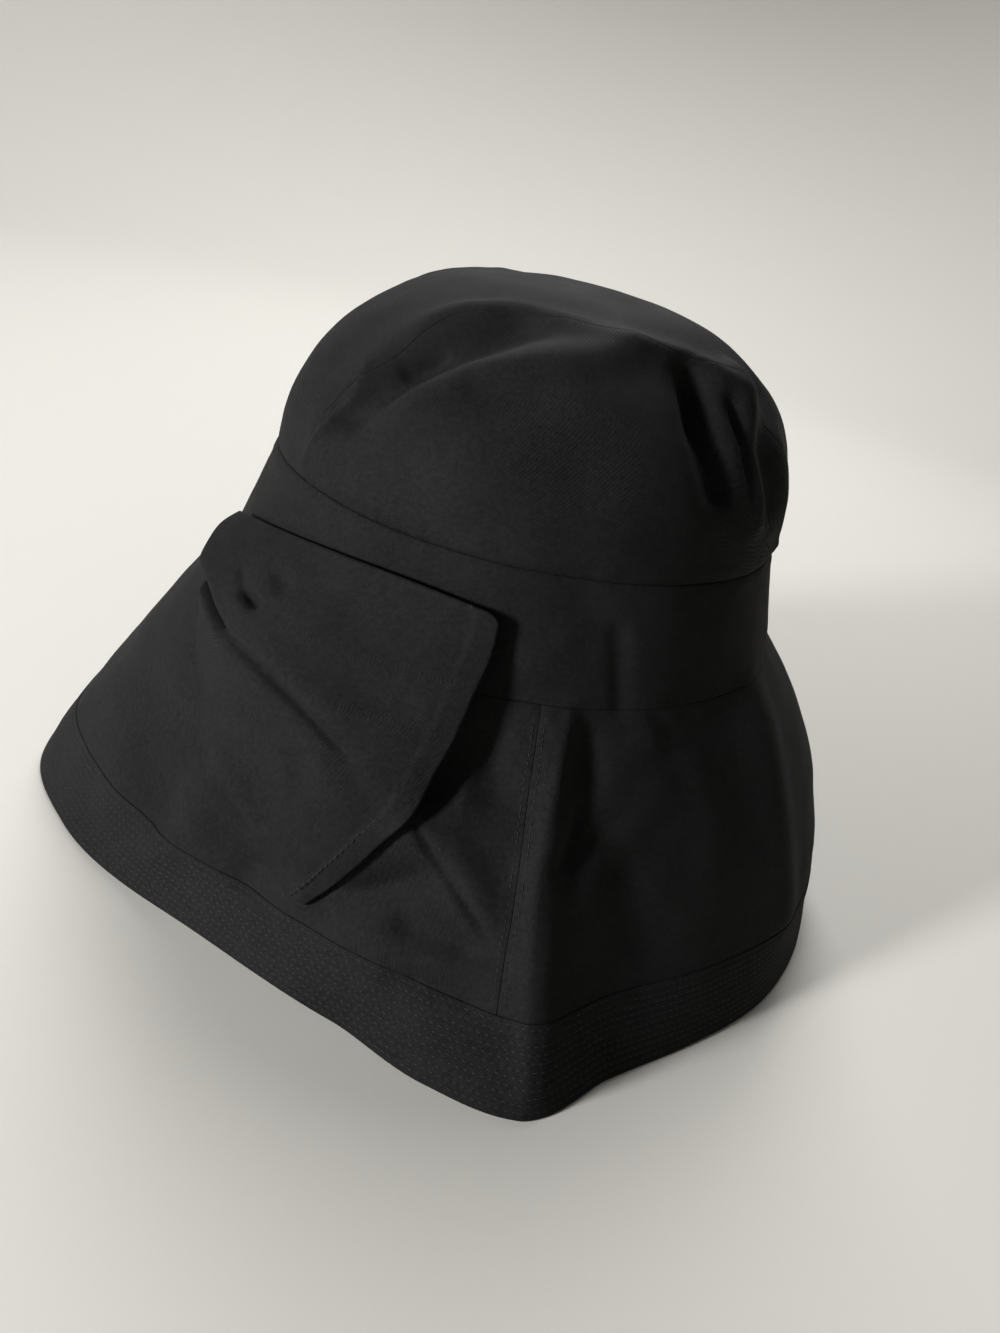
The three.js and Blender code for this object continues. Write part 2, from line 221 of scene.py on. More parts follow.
MAIN_FOLDS = (
    Fold((34, 0.78), (38, 0.62), (58, 0.35), 1.0, -1.0),
    Fold((31, 0.88), (54, 0.54), (100, 0.35), 0.8, 0.5),
    Fold((62, 0.6), (66, 0.58), (71, 0.57), 1.0, -0.35),
    Fold((123, 0.42), (120, 0.58), (123, 0.74), 0.75, -0.9),
    Fold((144, 0.44), (134, 0.64), (137, 0.84), 0.7, 0.6),
    Fold((158, 0.5), (146, 0.66), (147, 0.82), 0.8, -0.7),
    Fold((160, 0.35), (168, 0.5), (176, 0.6), 2.4, 0.7),
    Fold((215, 0.45), (222, 0.6), (226, 0.76), 0.9, -0.6),
    Fold((285, 0.4), (300, 0.56), (312, 0.8), 1.1, -0.7),
    Fold((103, 1.4), (104, 1.65), (105, 1.95), 0.4, -0.25),
    Fold((94, 2.06), (93, 2.4), (95, 2.9), 0.7, 0.45),
    Fold((72, 2.36), (79, 2.44), (87, 2.57), 0.7, 0.55),
    Fold((62, 2.67), (68, 2.6), (75, 2.5), 0.9, -0.7),
    Fold((76, 2.62), (81, 2.6), (87, 2.59), 0.9, -0.6),
    Fold((76, 2.78), (80, 2.75), (85, 2.74), 0.8, -0.4),
    Fold((73, 2.25), (79, 2.11), (83, 2.22), 0.9, -0.6),
    Fold((97, 2.08), (99, 2.2), (98, 2.36), 0.8, -0.5),
    Fold((95, 2.32), (103, 2.2), (111, 2.08), 0.8, 0.3),
    Fold((102, 2.4), (107, 2.32), (113, 2.22), 0.9, 0.3),
    Fold((142, 2.05), (140, 2.35), (141, 2.7), 1.2, 0.6),
    Fold((39, 2.52), (36, 2.64), (33, 2.8), 1.2, 0.7),
    Fold((40, 2.57), (44, 2.62), (48, 2.67), 1.1, -0.7),
    Fold((49, 2.7), (54, 2.66), (60, 2.62), 0.8, -0.5),
    Fold((17, 2.5), (22, 2.58), (29, 2.7), 1.6, -0.8),
    Fold((208, 2.1), (212, 2.4), (211, 2.75), 1.5, 0.7),
    Fold((240, 2.3), (236, 2.5), (239, 2.8), 1.6, -0.6),
    Fold((302, 2.15), (306, 2.45), (303, 2.8), 1.6, 0.7),
    Fold((336, 2.3), (340, 2.5), (338, 2.8), 1.5, -0.6),
)

CREASES = (
    Crease(((34, 0.61), (38, 0.55), (43, 0.49)), 3.0, -4.0, True),
    Crease(((32, 0.83), (34, 0.72), (37, 0.6), (43, 0.47), (59, 0.33)), 8.0, -2.2),
    Crease(((22, 0.99), (28, 0.88), (29, 0.8), (30, 0.72), (27, 0.61)), 2.6, 1.6, True),
    Crease(((31, 0.46), (34, 0.39), (41, 0.34), (49, 0.29), (62, 0.27), (84, 0.3)), 4.0, 1.5),
    Crease(((31, 0.88), (43, 0.69), (54, 0.54), (69, 0.43), (89, 0.37), (108, 0.32)), 6.0, 1.2),
    Crease(((104, 0.33), (123, 0.36), (131, 0.4), (136, 0.45), (141, 0.53)), 4.0, 2.2),
    Crease(((124, 0.38), (124, 0.46), (123, 0.59), (127, 0.74)), 4.4, -5.2, True),
    Crease(((128, 0.44), (129, 0.51), (129, 0.6), (130, 0.8)), 3.4, 1.4),
    Crease(((136, 0.47), (134, 0.57), (133, 0.66), (135, 0.82)), 3.6, -4.8, True),
    Crease(((131, 0.58), (132, 0.69), (136, 0.88)), 1.6, 0.9, True),
    Crease(((90, 1.05), (97, 1.3), (99, 1.7)), 7.0, -0.8),
    Crease(
        ((95, 1.96), (94, 2.1), (91.5, 2.35), (91.5, 2.52), (92.2, 2.7), (93, 2.88), (93.5, 3.1)),
        5.0, 2.3, True,
    ),
    Crease(((99, 2.24), (97, 2.32), (95, 2.4)), 3.0, -2.0),
    Crease(((71, 2.33), (78, 2.44), (83, 2.52), (87, 2.6)), 1.7, -3.2, True),
    Crease(((74, 2.3), (81, 2.4), (87, 2.5)), 4.0, 1.2),
    Crease(((63, 2.66), (70, 2.56), (76, 2.49)), 4.2, -2.0),
    Crease(((73, 2.64), (80, 2.63), (86, 2.63)), 3.6, -2.0),
    Crease(((75, 2.78), (81, 2.75), (87, 2.74)), 3.0, -1.3),
    Crease(((100, 2.3), (108, 2.45), (112, 2.7)), 9.0, -1.6),
    Crease(((120, 2.1), (124, 2.3), (123, 2.55)), 8.0, 1.2),
    Crease(((18, 2.5), (23, 2.62), (31, 2.7)), 5.0, -1.4),
    Crease(((41, 2.72), (50, 2.76), (62, 2.74)), 4.0, -0.8),
    Crease(((215, 0.5), (221, 0.62), (226, 0.8)), 3.6, -2.0, True),
    Crease(((290, 0.45), (301, 0.58), (311, 0.78)), 4.0, -2.2, True),
    Crease(((182, 0.5), (186, 0.66), (183, 0.84)), 4.0, -1.6, True),
    Crease(((238, 2.2), (235, 2.45), (239, 2.7)), 4.0, -1.8, True),
    Crease(((271, 2.05), (270, 2.5), (271, 3.1)), 6.0, 1.6, True),
    Crease(((300, 2.3), (307, 2.45), (316, 2.5)), 3.0, -1.4, True),
    Crease(((337, 2.2), (341, 2.45), (338, 2.7)), 4.0, -1.5, True),
)

WRINKLES = (
    Wrinkle(40, (38, 34, 30), 0.7),
    Wrinkle(90, (15, 17, 13), 0.42),
    Wrinkle(160, (6, 7, 5.5), 0.11),
)

POCKET = (
    PocketRow((10, 1.61), (77.5, 1.37), 0.17, (0.12, 0.05, 0.12, 0.12)),
    PocketRow((12.5, 1.76), (77.7, 1.63), 0.08, (0.5, 0.3, 0.16, 0.14)),
    PocketRow((17, 1.97), (76.8, 1.87), 0.02, (0.75, 0.56, 0.36, 0.3)),
    PocketRow((21.5, 2.08), (75.2, 2.1), -0.02, (0.6, 0.66, 0.5, 0.42)),
    PocketRow((23, 2.21), (73.5, 2.21), -0.01, (0.12, 0.4, 0.45, 0.36)),
    PocketRow((27.5, 2.32), (72, 2.32), 0.0, (0.06, 0.24, 0.35, 0.2)),
    PocketRow((31.5, 2.43), (69, 2.41), 0.0, (0.06, 0.2, 0.24, 0.08)),
    PocketRow((37, 2.54), (66, 2.51), 0.0, (0.06, 0.15, 0.18, 0.05)),
    PocketRow((43, 2.66), (62.5, 2.62), 0.0, (0.05, 0.08, 0.1, 0.04)),
    PocketRow((52, 2.71), (59.5, 2.7), 0.0, (0.03, 0.04, 0.04, 0.03)),
)

POCKET_CREASES = (
    Crease(((0.25, -0.05), (0.3, 0.05), (0.335, 0.12), (0.35, 0.18)), 1.7, -5.5),
    Crease(
        ((0.32, 0.09), (0.345, 0.22), (0.352, 0.36), (0.372, 0.48), (0.41, 0.61), (0.46, 0.74)),
        2.0, -4.0, True,
    ),
    Crease(((0.3, 0.3), (0.32, 0.45), (0.36, 0.6), (0.4, 0.72)), 5.0, 1.0),
    Crease(((0.42, 0.2), (0.44, 0.4), (0.5, 0.62)), 7.0, 1.0),
    Crease(((0.22, 0.235), (0.23, 0.27), (0.24, 0.305)), 1.9, -4.2),
    Crease(((0.16, 0.19), (0.195, 0.22), (0.215, 0.25)), 1.6, -1.0),
    Crease(((0.125, 0.32), (0.141, 0.356), (0.155, 0.39)), 3.2, -1.6),
    Crease(((0.1, 0.55), (0.2, 0.66), (0.24, 0.8)), 9.0, -1.0),
    Crease(((0.29, 0.62), (0.31, 0.74), (0.3, 0.88)), 5.5, -1.3),
    Crease(((0.5, 0.55), (0.57, 0.6), (0.63, 0.66)), 5.0, -1.3),
    Crease(((0.44, 0.7), (0.52, 0.8), (0.56, 0.92)), 5.0, -1.0),
    Crease(((0.45, 0.6), (0.55, 0.72), (0.62, 0.86)), 5.0, 0.7),
    Crease(((0.62, 0.12), (0.7, 0.31), (0.78, 0.43)), 4.5, 1.6),
    Crease(((0.74, 0.1), (0.84, 0.3), (0.9, 0.55)), 4.5, -1.6),
)


class Side(Enum):
    """The wearer's left and right, as the sign of X."""

    LEFT = 1
    RIGHT = -1


class EdgeShape(Enum):
    """How the edge of a piece of cloth is finished."""

    SEAM = "turned under and sewn to its neighbour"
    PRESSED = "sewn to its neighbour and pressed flat"
    FOLDED = "folded over, with both faces showing"


SEAM_FORMS = {
    EdgeShape.SEAM: SeamForm(0.45, 0.4, 0.25, 0.35, 3.2, 0.5),
    EdgeShape.PRESSED: SeamForm(0.1, 0.3, 0.06, 0.25, 3.0, 0.0),
}
PUCKER_CELL = (5.5, 5.5, 5.5)
FOLD_ROUNDNESS = 0.94
SHARP_REACH = 4.5
SOFT_REACH = 2.6
CREASE_FADE = 0.6


def smooth_rows(places: np.ndarray, values: np.ndarray, at: np.ndarray) -> np.ndarray:
    """Reads a smooth curve through rows of places and values.

    Args:
        places: The rows' places, rising, with one spare row at each end.
        values: The value at each place.
        at: Where to read the curve, between the second place and the last but one.

    Returns:
        The curve's values, in the shape of at.
    """
    index = np.clip(np.searchsorted(places, at, side="right") - 1, 1, len(places) - 3)
    width = places[index + 1] - places[index]
    share = (at - places[index]) / width
    start = (values[index + 1] - values[index - 1]) / (places[index + 1] - places[index - 1]) * width
    end = (values[index + 2] - values[index]) / (places[index + 2] - places[index]) * width
    s2 = share * share
    s3 = s2 * share
    low = (2 * s3 - 3 * s2 + 1) * values[index] + (s3 - 2 * s2 + share) * start
    return low + (3 * s2 - 2 * s3) * values[index + 1] + (s3 - s2) * end


def held_rows(places: list[float], values: list[float], at: np.ndarray) -> np.ndarray:
    """Reads a smooth curve whose ends are held level.

    Args:
        places: The rows' places, rising.
        values: The value at each place.
        at: Where to read it; places outside the rows get the end value.

    Returns:
        The curve's values, in the shape of at.
    """
    spare = [places[0] - (places[1] - places[0]), *places, places[-1] + (places[-1] - places[-2])]
    held = [values[0], *values, values[-1]]
    return smooth_rows(np.array(spare), np.array(held), np.clip(at, places[0], places[-1]))


def smooth_step(value: np.ndarray, low: float, high: float) -> np.ndarray:
    """Rises smoothly from 0 at low to 1 at high."""
    share = np.clip((value - low) / (high - low), 0, 1)
    return share * share * (3 - 2 * share)


@dataclass
class SoftNoise:
    """Smooth repeatable noise in space, from -1 to 1, about one bump for each cell."""

    seed: int
    size: int = 32
    lattice: np.ndarray = field(init=False)

    def __post_init__(self) -> None:
        """Fills the lattice from the seed."""
        maker = np.random.default_rng(self.seed)
        self.lattice = maker.uniform(-1, 1, (self.size, self.size, self.size))

    def read(self, points: np.ndarray, cell: tuple[float, float, float]) -> np.ndarray:
        """Reads the noise.

        Args:
            points: Points in mm, with x, y and z last.
            cell: The size of a bump along x, y and z, in mm.

        Returns:
            One value for each point.
        """
        place = points / np.array(cell)
        low = np.floor(place).astype(int)
        share = place - low
        share = share * share * (3 - 2 * share)
        total = np.zeros(points.shape[:-1])
        for corner in np.ndindex(2, 2, 2):
            at = (low + np.array(corner)) % self.size
            weight = np.prod(np.where(np.array(corner) == 1, share, 1 - share), axis=-1)
            total += weight * self.lattice[at[..., 0], at[..., 1], at[..., 2]]
        return total


def smooth_path(points: np.ndarray, count: int = 28) -> np.ndarray:
    """Rounds a path of a few points off into a curve of many."""
    places = list(range(len(points)))
    at = np.linspace(0, len(points) - 1, count)
    return np.stack([held_rows(places, list(points[:, axis]), at) for axis in range(3)], -1)


def crease_lift(points: np.ndarray, creases: list[tuple[np.ndarray, Crease]]) -> np.ndarray:
    """How far creases lift the cloth.

    Args:
        points: Points in mm, with x, y and z last.
        creases: Each crease with the points of its path.

    Returns:
        The lift of each point, in mm.
    """
    lift = np.zeros(points.shape[:-1])
    for path, crease in creases:
        curve = smooth_path(path)
        reach = crease.width * (SHARP_REACH if crease.sharp else SOFT_REACH)
        close = np.all((points > curve.min(0) - reach) & (points < curve.max(0) + reach), axis=-1)
        if not close.any():
            continue
        near = np.full(int(close.sum()), np.inf)
        along = np.zeros_like(near)
        chosen = points[close]
        for index in range(len(curve) - 1):
            run = curve[index + 1] - curve[index]
            off = chosen - curve[index]
            share = np.clip(off @ run / (run @ run + 1e-9), 0, 1)
            distance = np.linalg.norm(off - share[:, None] * run, axis=-1)
            better = distance < near
            near = np.where(better, distance, near)
            along = np.where(better, (index + share) / (len(curve) - 1), along)
        fade = np.sin(np.pi * np.clip(along, 0.02, 0.98)) ** CREASE_FADE
        if crease.sharp:
            shape = np.exp(0.3 - np.sqrt((near / crease.width * 1.5) ** 2 + 0.09))
        else:
            shape = np.exp(-((near / crease.width) ** 2))
        lift[close] += crease.rise * fade * shape
    return lift


class ClothSurface:
    """The one surface that all the cloth follows."""

    def __init__(self, sizes: HatSizes) -> None:
        """Keeps the sizes and makes the noise for the small wrinkles.

        Args:
            sizes: The driving sizes of the hat.
        """
        self.sizes = sizes
        self.noise = SoftNoise(seed=11)
        angles = [row.angle for row in RIM]
        self.rim_angles = np.array([a - 360 for a in angles[-2:]] + angles + [a + 360 for a in angles[:3]])
        self.rim_reach = self._wrapped([row.reach for row in RIM])
        self.rim_bulge = self._wrapped([row.bulge for row in RIM])
        self.axis = self._find_axis()

    def _find_axis(self) -> np.ndarray:
        """Where the hat's axis stands, in mm, so that the rim lies where its solid does.

        Returns:
            The place of the axis on the floor.
        """
        low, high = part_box("hem_band")
        angle = np.linspace(0, 360, 721)
        rim = self.points(angle, np.full_like(angle, 3.0), (self.sizes.hem_cloth - self.sizes.cloth) / 2)
        middle = (rim.min(0) + rim.max(0)) / 2
        solid = (np.array(low) + np.array(high)) / 2 / MM
        return np.array([solid[0] - middle[0], solid[1] - middle[1], 0.0])

    @staticmethod
    def _wrapped(values: list[float]) -> np.ndarray:
        """Repeats the ends of a column, so that it can be read all the way round."""
        return np.array(values[-2:] + values + values[:3])

    @staticmethod
    def oval(half_width: float, half_length: float, angle: np.ndarray) -> np.ndarray:
        """Distance from the axis to an oval at an angle."""
        turn = np.radians(angle)
        return 1 / np.hypot(np.sin(turn) / half_width, np.cos(turn) / half_length)

    def strip_edge(self, along: np.ndarray) -> np.ndarray:
        """Half the width of the centre strip, from -1 at the front to 1 at the back."""
        places = [row[0] for row in STRIP_EDGE]
        values = [row[1] * self.sizes.strip_half_width for row in STRIP_EDGE]
        return held_rows(places, values, along)

    def profile(self, angle: np.ndarray, station: np.ndarray) -> tuple[np.ndarray, np.ndarray]:
        """The distance from the axis and the height of the cloth before its folds.

        Args:
            angle: Degrees from the front.
            station: Stations down the cloth.

        Returns:
            The radius and the height, in mm.
        """
        s = self.sizes
        power = 2 / s.crown_squareness
        top = self.oval(s.crown_half_width, s.crown_half_length, angle)
        seam = self.oval(s.head_width / 2, s.head_length / 2, angle)
        turn = np.clip(station, 0, 1) * np.pi / 2
        crown_radius = top * np.sin(turn) ** power
        crown_height = s.band_top + s.crown_height * np.maximum(np.cos(turn), 0) ** power
        down = np.clip(station - 1, 0, 1)
        band_radius = top + (seam - top) * down
        band_height = s.band_top - s.band_height * down
        down = np.clip(station - 2, 0, 1)
        turned = np.mod(angle, 360)
        reach = smooth_rows(self.rim_angles, self.rim_reach, turned)
        bulge = smooth_rows(self.rim_angles, self.rim_bulge, turned)
        swell = 4 * down * (1 - down) * (1.25 - 0.5 * down)
        brim_radius = seam + s.brim_flare * reach * down + s.brim_drop * bulge * swell
        brim_height = s.brim_drop * (1 - down)
        in_crown = station <= 1
        in_band = station <= 2
        radius = np.where(in_crown, crown_radius, np.where(in_band, band_radius, brim_radius))
        height = np.where(in_crown, crown_height, np.where(in_band, band_height, brim_height))
        return radius, height

    def plain(self, angle: np.ndarray, station: np.ndarray) -> np.ndarray:
        """Points on the cloth before its folds, in mm about the hat's axis.

        Args:
            angle: Degrees from the front.
            station: Stations down the cloth.

        Returns:
            Points with x, y and z last.
        """
        angle = np.asarray(angle, float)
        radius, height = self.profile(angle, np.asarray(station, float))
        turn = np.radians(angle)
        return np.stack([radius * np.sin(turn), -radius * np.cos(turn), height], -1)

    def distance_down(self, station: np.ndarray) -> np.ndarray:
        """Distance down the cloth of a station, in mm.

        Args:
            station: Stations down the cloth.

        Returns:
            The distance of each.
        """
        s = self.sizes
        crown = np.minimum(station, 1) * s.crown_arc
        band = np.clip(station - 1, 0, 1) * s.band_slant
        return crown + band + np.maximum(station - 2, 0) * s.brim_slant

    def _near_stretch(
        self,
        angle: np.ndarray,
        station: np.ndarray,
        radius: np.ndarray,
        start: tuple[float, float],
        end: tuple[float, float],
    ) -> np.ndarray:
        """Distance to a straight stretch of a fold.

        Args:
            angle: Degrees from the front.
            station: Stations down the cloth.
            radius: Distances from the axis, in mm.
            start: The angle and station of the stretch's start.
            end: The angle and station of its end.

        Returns:
            Distances in mm.
        """
        middle = (start[0] + end[0]) / 2
        turned = np.radians(np.mod(angle - middle + 180, 360) - 180) * radius
        first_x = np.radians(start[0] - middle) * radius
        run_x = np.radians(end[0] - start[0]) * radius
        first_y = self.distance_down(np.array(start[1]))
        run_y = self.distance_down(np.array(end[1])) - first_y
        off_x = turned - first_x
        off_y = self.distance_down(station) - first_y
        share = np.clip((off_x * run_x + off_y * run_y) / (run_x ** 2 + run_y ** 2 + 1e-9), 0, 1)
        return np.hypot(off_x - share * run_x, off_y - share * run_y)

    def fold_lift(
        self, angle: np.ndarray, station: np.ndarray, radius: np.ndarray, folds: tuple[Fold, ...]
    ) -> np.ndarray:
        """How far a table of folds lifts the cloth.

        Args:
            angle: Degrees from the front.
            station: Stations down the cloth.
            radius: Distances from the axis, in mm.
            folds: The folds.

        Returns:
            Lifts in mm.
        """
        s = self.sizes
        lift = np.zeros(np.shape(radius))
        for fold in folds:
            near = np.minimum(
                self._near_stretch(angle, station, radius, fold.start, fold.middle),
                self._near_stretch(angle, station, radius, fold.middle, fold.end),
            )
            lift += fold.rise * s.fold_depth * np.exp(-((near / (fold.width * s.fold_width)) ** 2))
        return lift

    def seam_lift(self, angle: np.ndarray, station: np.ndarray, radius: np.ndarray) -> np.ndarray:
        """How far the seams beside the centre strip lift the crown.

        Args:
            angle: Degrees from the front.
            station: Stations down the cloth.
            radius: Distances from the axis, in mm.

        Returns:
            Lifts in mm.
        """
        s = self.sizes
        turn = np.radians(angle)
        aside = np.abs(radius * np.sin(turn))
        along = -radius * np.cos(turn) / s.crown_half_length
        near = (aside - self.strip_edge(along)) / (s.fold_width * 0.7)
        fade = 1 - np.minimum(station, 1) ** 6
        return s.seam_ridge * fade * np.exp(-near * near)

    def way(self, angle: np.ndarray, station: np.ndarray) -> np.ndarray:
        """The direction that lifts follow, which turns level at the rim.

        Args:
            angle: Degrees from the front.
            station: Stations down the cloth.

        Returns:
            Directions of length 1, with x, y and z last.
        """
        step = 0.04
        above = self.profile(angle, np.maximum(station - step, step / 4))
        below = self.profile(angle, np.minimum(station + step, 3))
        fall_out = below[0] - above[0]
        fall_up = below[1] - above[1]
        size = np.hypot(fall_out, fall_up)
        level = smooth_step(station, 2.85, 3)
        outward = -fall_up / size * (1 - level) + level
        upward = fall_out / size * (1 - level)
        turn = np.radians(angle)
        return np.stack([outward * np.sin(turn), -outward * np.cos(turn), upward], -1)

    def wrinkles(self, points: np.ndarray) -> np.ndarray:
        """The small soft unevenness of the cloth, in mm."""
        return sum(self.noise.read(points + w.shift, w.cell) * w.height for w in WRINKLES)

    def points(self, angle: np.ndarray, station: np.ndarray, raised: np.ndarray | float) -> np.ndarray:
        """Points on the cloth.

        Args:
            angle: Degrees from the front.
            station: Stations down the cloth.
            raised: How far off the cloth's outside each point is, in mm.

        Returns:
            Points in mm about the hat's axis, with x, y and z last.
        """
        plain = self.plain(angle, station)
        radius = np.hypot(plain[..., 0], plain[..., 1])
        calm = smooth_step(3 - station, 0, 0.12)
        rise = raised + self.fold_lift(angle, station, radius, MAIN_FOLDS)
        rise = rise + crease_lift(plain, [(self.plain(*np.array(c.path, float).T), c) for c in CREASES])
        rise = rise + self.seam_lift(angle, station, radius) + self.wrinkles(plain) * calm
        return plain + self.way(angle, station) * rise[..., None]

    def crown_place(self, x: np.ndarray, y: np.ndarray) -> tuple[np.ndarray, np.ndarray]:
        """The angle and station of the crown above a place in plan.

        Args:
            x: How far the place lies towards the wearer's left, in mm.
            y: How far it lies towards the back, in mm.

        Returns:
            Angles and stations.
        """
        s = self.sizes
        angle = np.degrees(np.arctan2(x, -y))
        share = np.minimum(np.hypot(x, y) / self.oval(s.crown_half_width, s.crown_half_length, angle), 1)
        station = 2 / np.pi * np.arcsin(share ** (s.crown_squareness / 2))
        return angle, station * (1 - s.seam_gap / 2 / s.crown_arc)


def close_rows(start: float, end: float, length: float, spacing: float, tight: bool = True) -> np.ndarray:
    """Numbers from start to end, closer together at both ends where edges are rounded.

    Args:
        start: The first number.
        end: The last number.
        length: The length in mm that they stand for.
        spacing: The usual distance between two, in mm.
        tight: Whether the ends get the extra numbers.

    Returns:
        The numbers, rising or falling.
    """
    count = max(int(round(length / spacing)), 4)
    places = list(np.linspace(0, length, count + 1))
    if tight:
        close = [0.18, 0.42, 0.75, 1.2, 1.8]
        inner = [p for p in places if 2.3 < p < length - 2.3]
        places = [0.0, *close, *inner, *[length - c for c in reversed(close)], length]
    return start + (end - start) * np.array(places) / length


def cloth_distance(points: np.ndarray, axis: int) -> np.ndarray:
    """Distance along a grid of points from its first row or column, in mm.

    Args:
        points: The grid of points, with x, y and z last.
        axis: 0 to measure down the columns, or 1 along the rows.

    Returns:
        The distance of each point.
    """
    steps = np.linalg.norm(np.diff(points, axis=axis), axis=-1)
    total = np.cumsum(steps, axis=axis)
    start = np.zeros_like(np.take(total, [0], axis=axis))
    return np.concatenate([start, total], axis=axis)


@dataclass
class EdgeFinish:
    """The finish of the four edges of a piece: its top, bottom, first and last columns."""

    top: EdgeShape = EdgeShape.SEAM
    bottom: EdgeShape = EdgeShape.SEAM
    first: EdgeShape | None = EdgeShape.SEAM
    last: EdgeShape | None = EdgeShape.SEAM


@dataclass
class ClothPiece:
    """A wall of cloth between an outside and an inside grid."""

    surface: ClothSurface
    name: str

    def relief(
        self, base: np.ndarray, edges: EdgeFinish, thickness: float
    ) -> tuple[np.ndarray, np.ndarray]:
        """How the edges shape the wall.

        Args:
            base: The grid of points of the outside.
            edges: The finish of each edge.
            thickness: The wall's thickness in mm.

        Returns:
            How far the outside and the inside move outwards, in mm.
        """
        down = cloth_distance(base, 0)
        back = cloth_distance(base, 1)
        outside = np.zeros(base.shape[:2])
        inside = np.zeros(base.shape[:2])
        pucker = self.surface.noise.read(base, PUCKER_CELL)
        for shape, near in (
            (edges.top, down),
            (edges.bottom, down[-1:] - down),
            (edges.first, back),
            (edges.last, back[:, -1:] - back),
        ):
            if shape in SEAM_FORMS:
                form = SEAM_FORMS[shape]
                puff = form.puff + form.pucker * pucker
                outside -= form.dip * np.exp(-near / form.dip_width)
                outside += puff * np.exp(-((near - form.puff_place) / form.puff_width) ** 2)
                inside += form.turned_in * np.exp(-near / form.turn_width)
            elif shape is EdgeShape.FOLDED:
                rounded = np.clip(1 - near / (thickness * 0.5), 0, 1) ** 2 * FOLD_ROUNDNESS
                fall = 1 - np.sqrt(1 - rounded)
                outside -= fall * thickness * 0.5
                inside += fall * thickness * 0.5
        return outside, inside

    def build(
        self,
        angle: np.ndarray,
        station: np.ndarray,
        thickness: float,
        edges: EdgeFinish,
        proud: float = 0.0,
        detail: np.ndarray | float = 0.0,
        ring: bool = False,
    ) -> bpy.types.Object:
        """Makes the mesh of a piece that lies on the hat's surface.

        Args:
            angle: The grid of angles.
            station: The grid of stations.
            thickness: The wall's thickness in mm.
            edges: The finish of each edge.
            proud: How far the outside stands off the cloth surface, in mm.
            detail: A finer lift of the outside alone, in mm.
            ring: Whether the last column is the first one again.

        Returns:
            The piece, at the origin.
        """
        base = self.surface.points(angle, station, proud)
        way = self.surface.way(angle, station)
        outside, inside = self.relief(base, edges, thickness)
        outer = base + way * (outside + detail)[..., None]
        inner = base + way * (inside - thickness)[..., None]
        across = cloth_distance(base, 1)
        if ring:
            across = across / across[:, -1:] * across[:, -1].mean()
        return self.join(outer, inner, across, cloth_distance(base, 0), ring)

    def join(
        self, outer: np.ndarray, inner: np.ndarray, across: np.ndarray, down: np.ndarray, ring: bool
    ) -> bpy.types.Object:
        """Joins the two grids into one closed mesh with a map in mm.

        Args:
            outer: The grid of points of the outside.
            inner: The grid of points of the inside.
            across: How far each point lies along its row, in mm.
            down: How far each point lies down its column, in mm.
            ring: Whether the last column is the first one again.

        Returns:
            The mesh object.
        """
        rows, columns = outer.shape[:2]
        kept = columns - 1 if ring else columns
        layer = rows * kept
        points = np.concatenate([outer[:, :kept].reshape(-1, 3), inner[:, :kept].reshape(-1, 3)])
        points = (points + self.surface.axis) * MM
        row, column = np.meshgrid(np.arange(rows - 1), np.arange(columns - 1), indexing="ij")
        row = row.ravel()
        column = column.ravel()

        def at(side: int, r: np.ndarray, c: np.ndarray) -> np.ndarray:
            """The number of a vertex."""
            return side * layer + r * kept + c % kept

        def around(side: int, flip: bool) -> tuple[np.ndarray, np.ndarray]:
            """The faces of one side, and the map of their corners.

            Args:
                side: 0 for the outside and 1 for the inside.
                flip: Whether the faces run the other way round.

            Returns:
                Four vertices for each face, and the place of each on the cloth.
            """
            r = np.stack([row, row + 1, row + 1, row], 1)
            c = np.stack([column, column, column + 1, column + 1], 1)
            if flip:
                r = r[:, ::-1]
                c = c[:, ::-1]
            return at(side, r, c), np.stack([across[r, c], down[r, c]], -1)

        faces, maps = zip(around(0, False), around(1, True))
        faces = list(faces)
        maps = list(maps)
        run = np.arange(columns - 1)
        ends = [(0, run, run + 1, False), (rows - 1, run, run + 1, True)]
        for r, c0, c1, flip in ends:
            whole = np.full_like(run, r)
            quad = np.stack([at(0, whole, c0), at(0, whole, c1), at(1, whole, c1), at(1, whole, c0)], 1)
            place = np.stack([across[r, c0], across[r, c1], across[r, c1], across[r, c0]], 1)
            level = np.full_like(place, down[r].mean())
            faces.append(quad[:, ::-1] if flip else quad)
            maps.append(np.stack([place, level], -1))
        if not ring:
            run = np.arange(rows - 1)
            for c, flip in ((0, True), (columns - 1, False)):
                whole = np.full_like(run, c)
                quad = [at(0, run, whole), at(0, run + 1, whole), at(1, run + 1, whole), at(1, run, whole)]
                quad = np.stack(quad, 1)
                place = np.stack([down[run, c], down[run + 1, c], down[run + 1, c], down[run, c]], 1)
                level = np.full_like(place, across[:, c].mean())
                faces.append(quad[:, ::-1] if flip else quad)
                maps.append(np.stack([level, place], -1))
        faces = np.concatenate(faces)
        maps = np.concatenate(maps)
        corners = points[faces[:, :]]
        volume = np.einsum("ij,ij->", corners[:, 0], np.cross(corners[:, 1], corners[:, 2]))
        volume += np.einsum("ij,ij->", corners[:, 0], np.cross(corners[:, 2], corners[:, 3]))
        if volume < 0:
            faces = faces[:, ::-1]
            maps = maps[:, ::-1]
        return mesh_object(self.name, points, faces, maps)


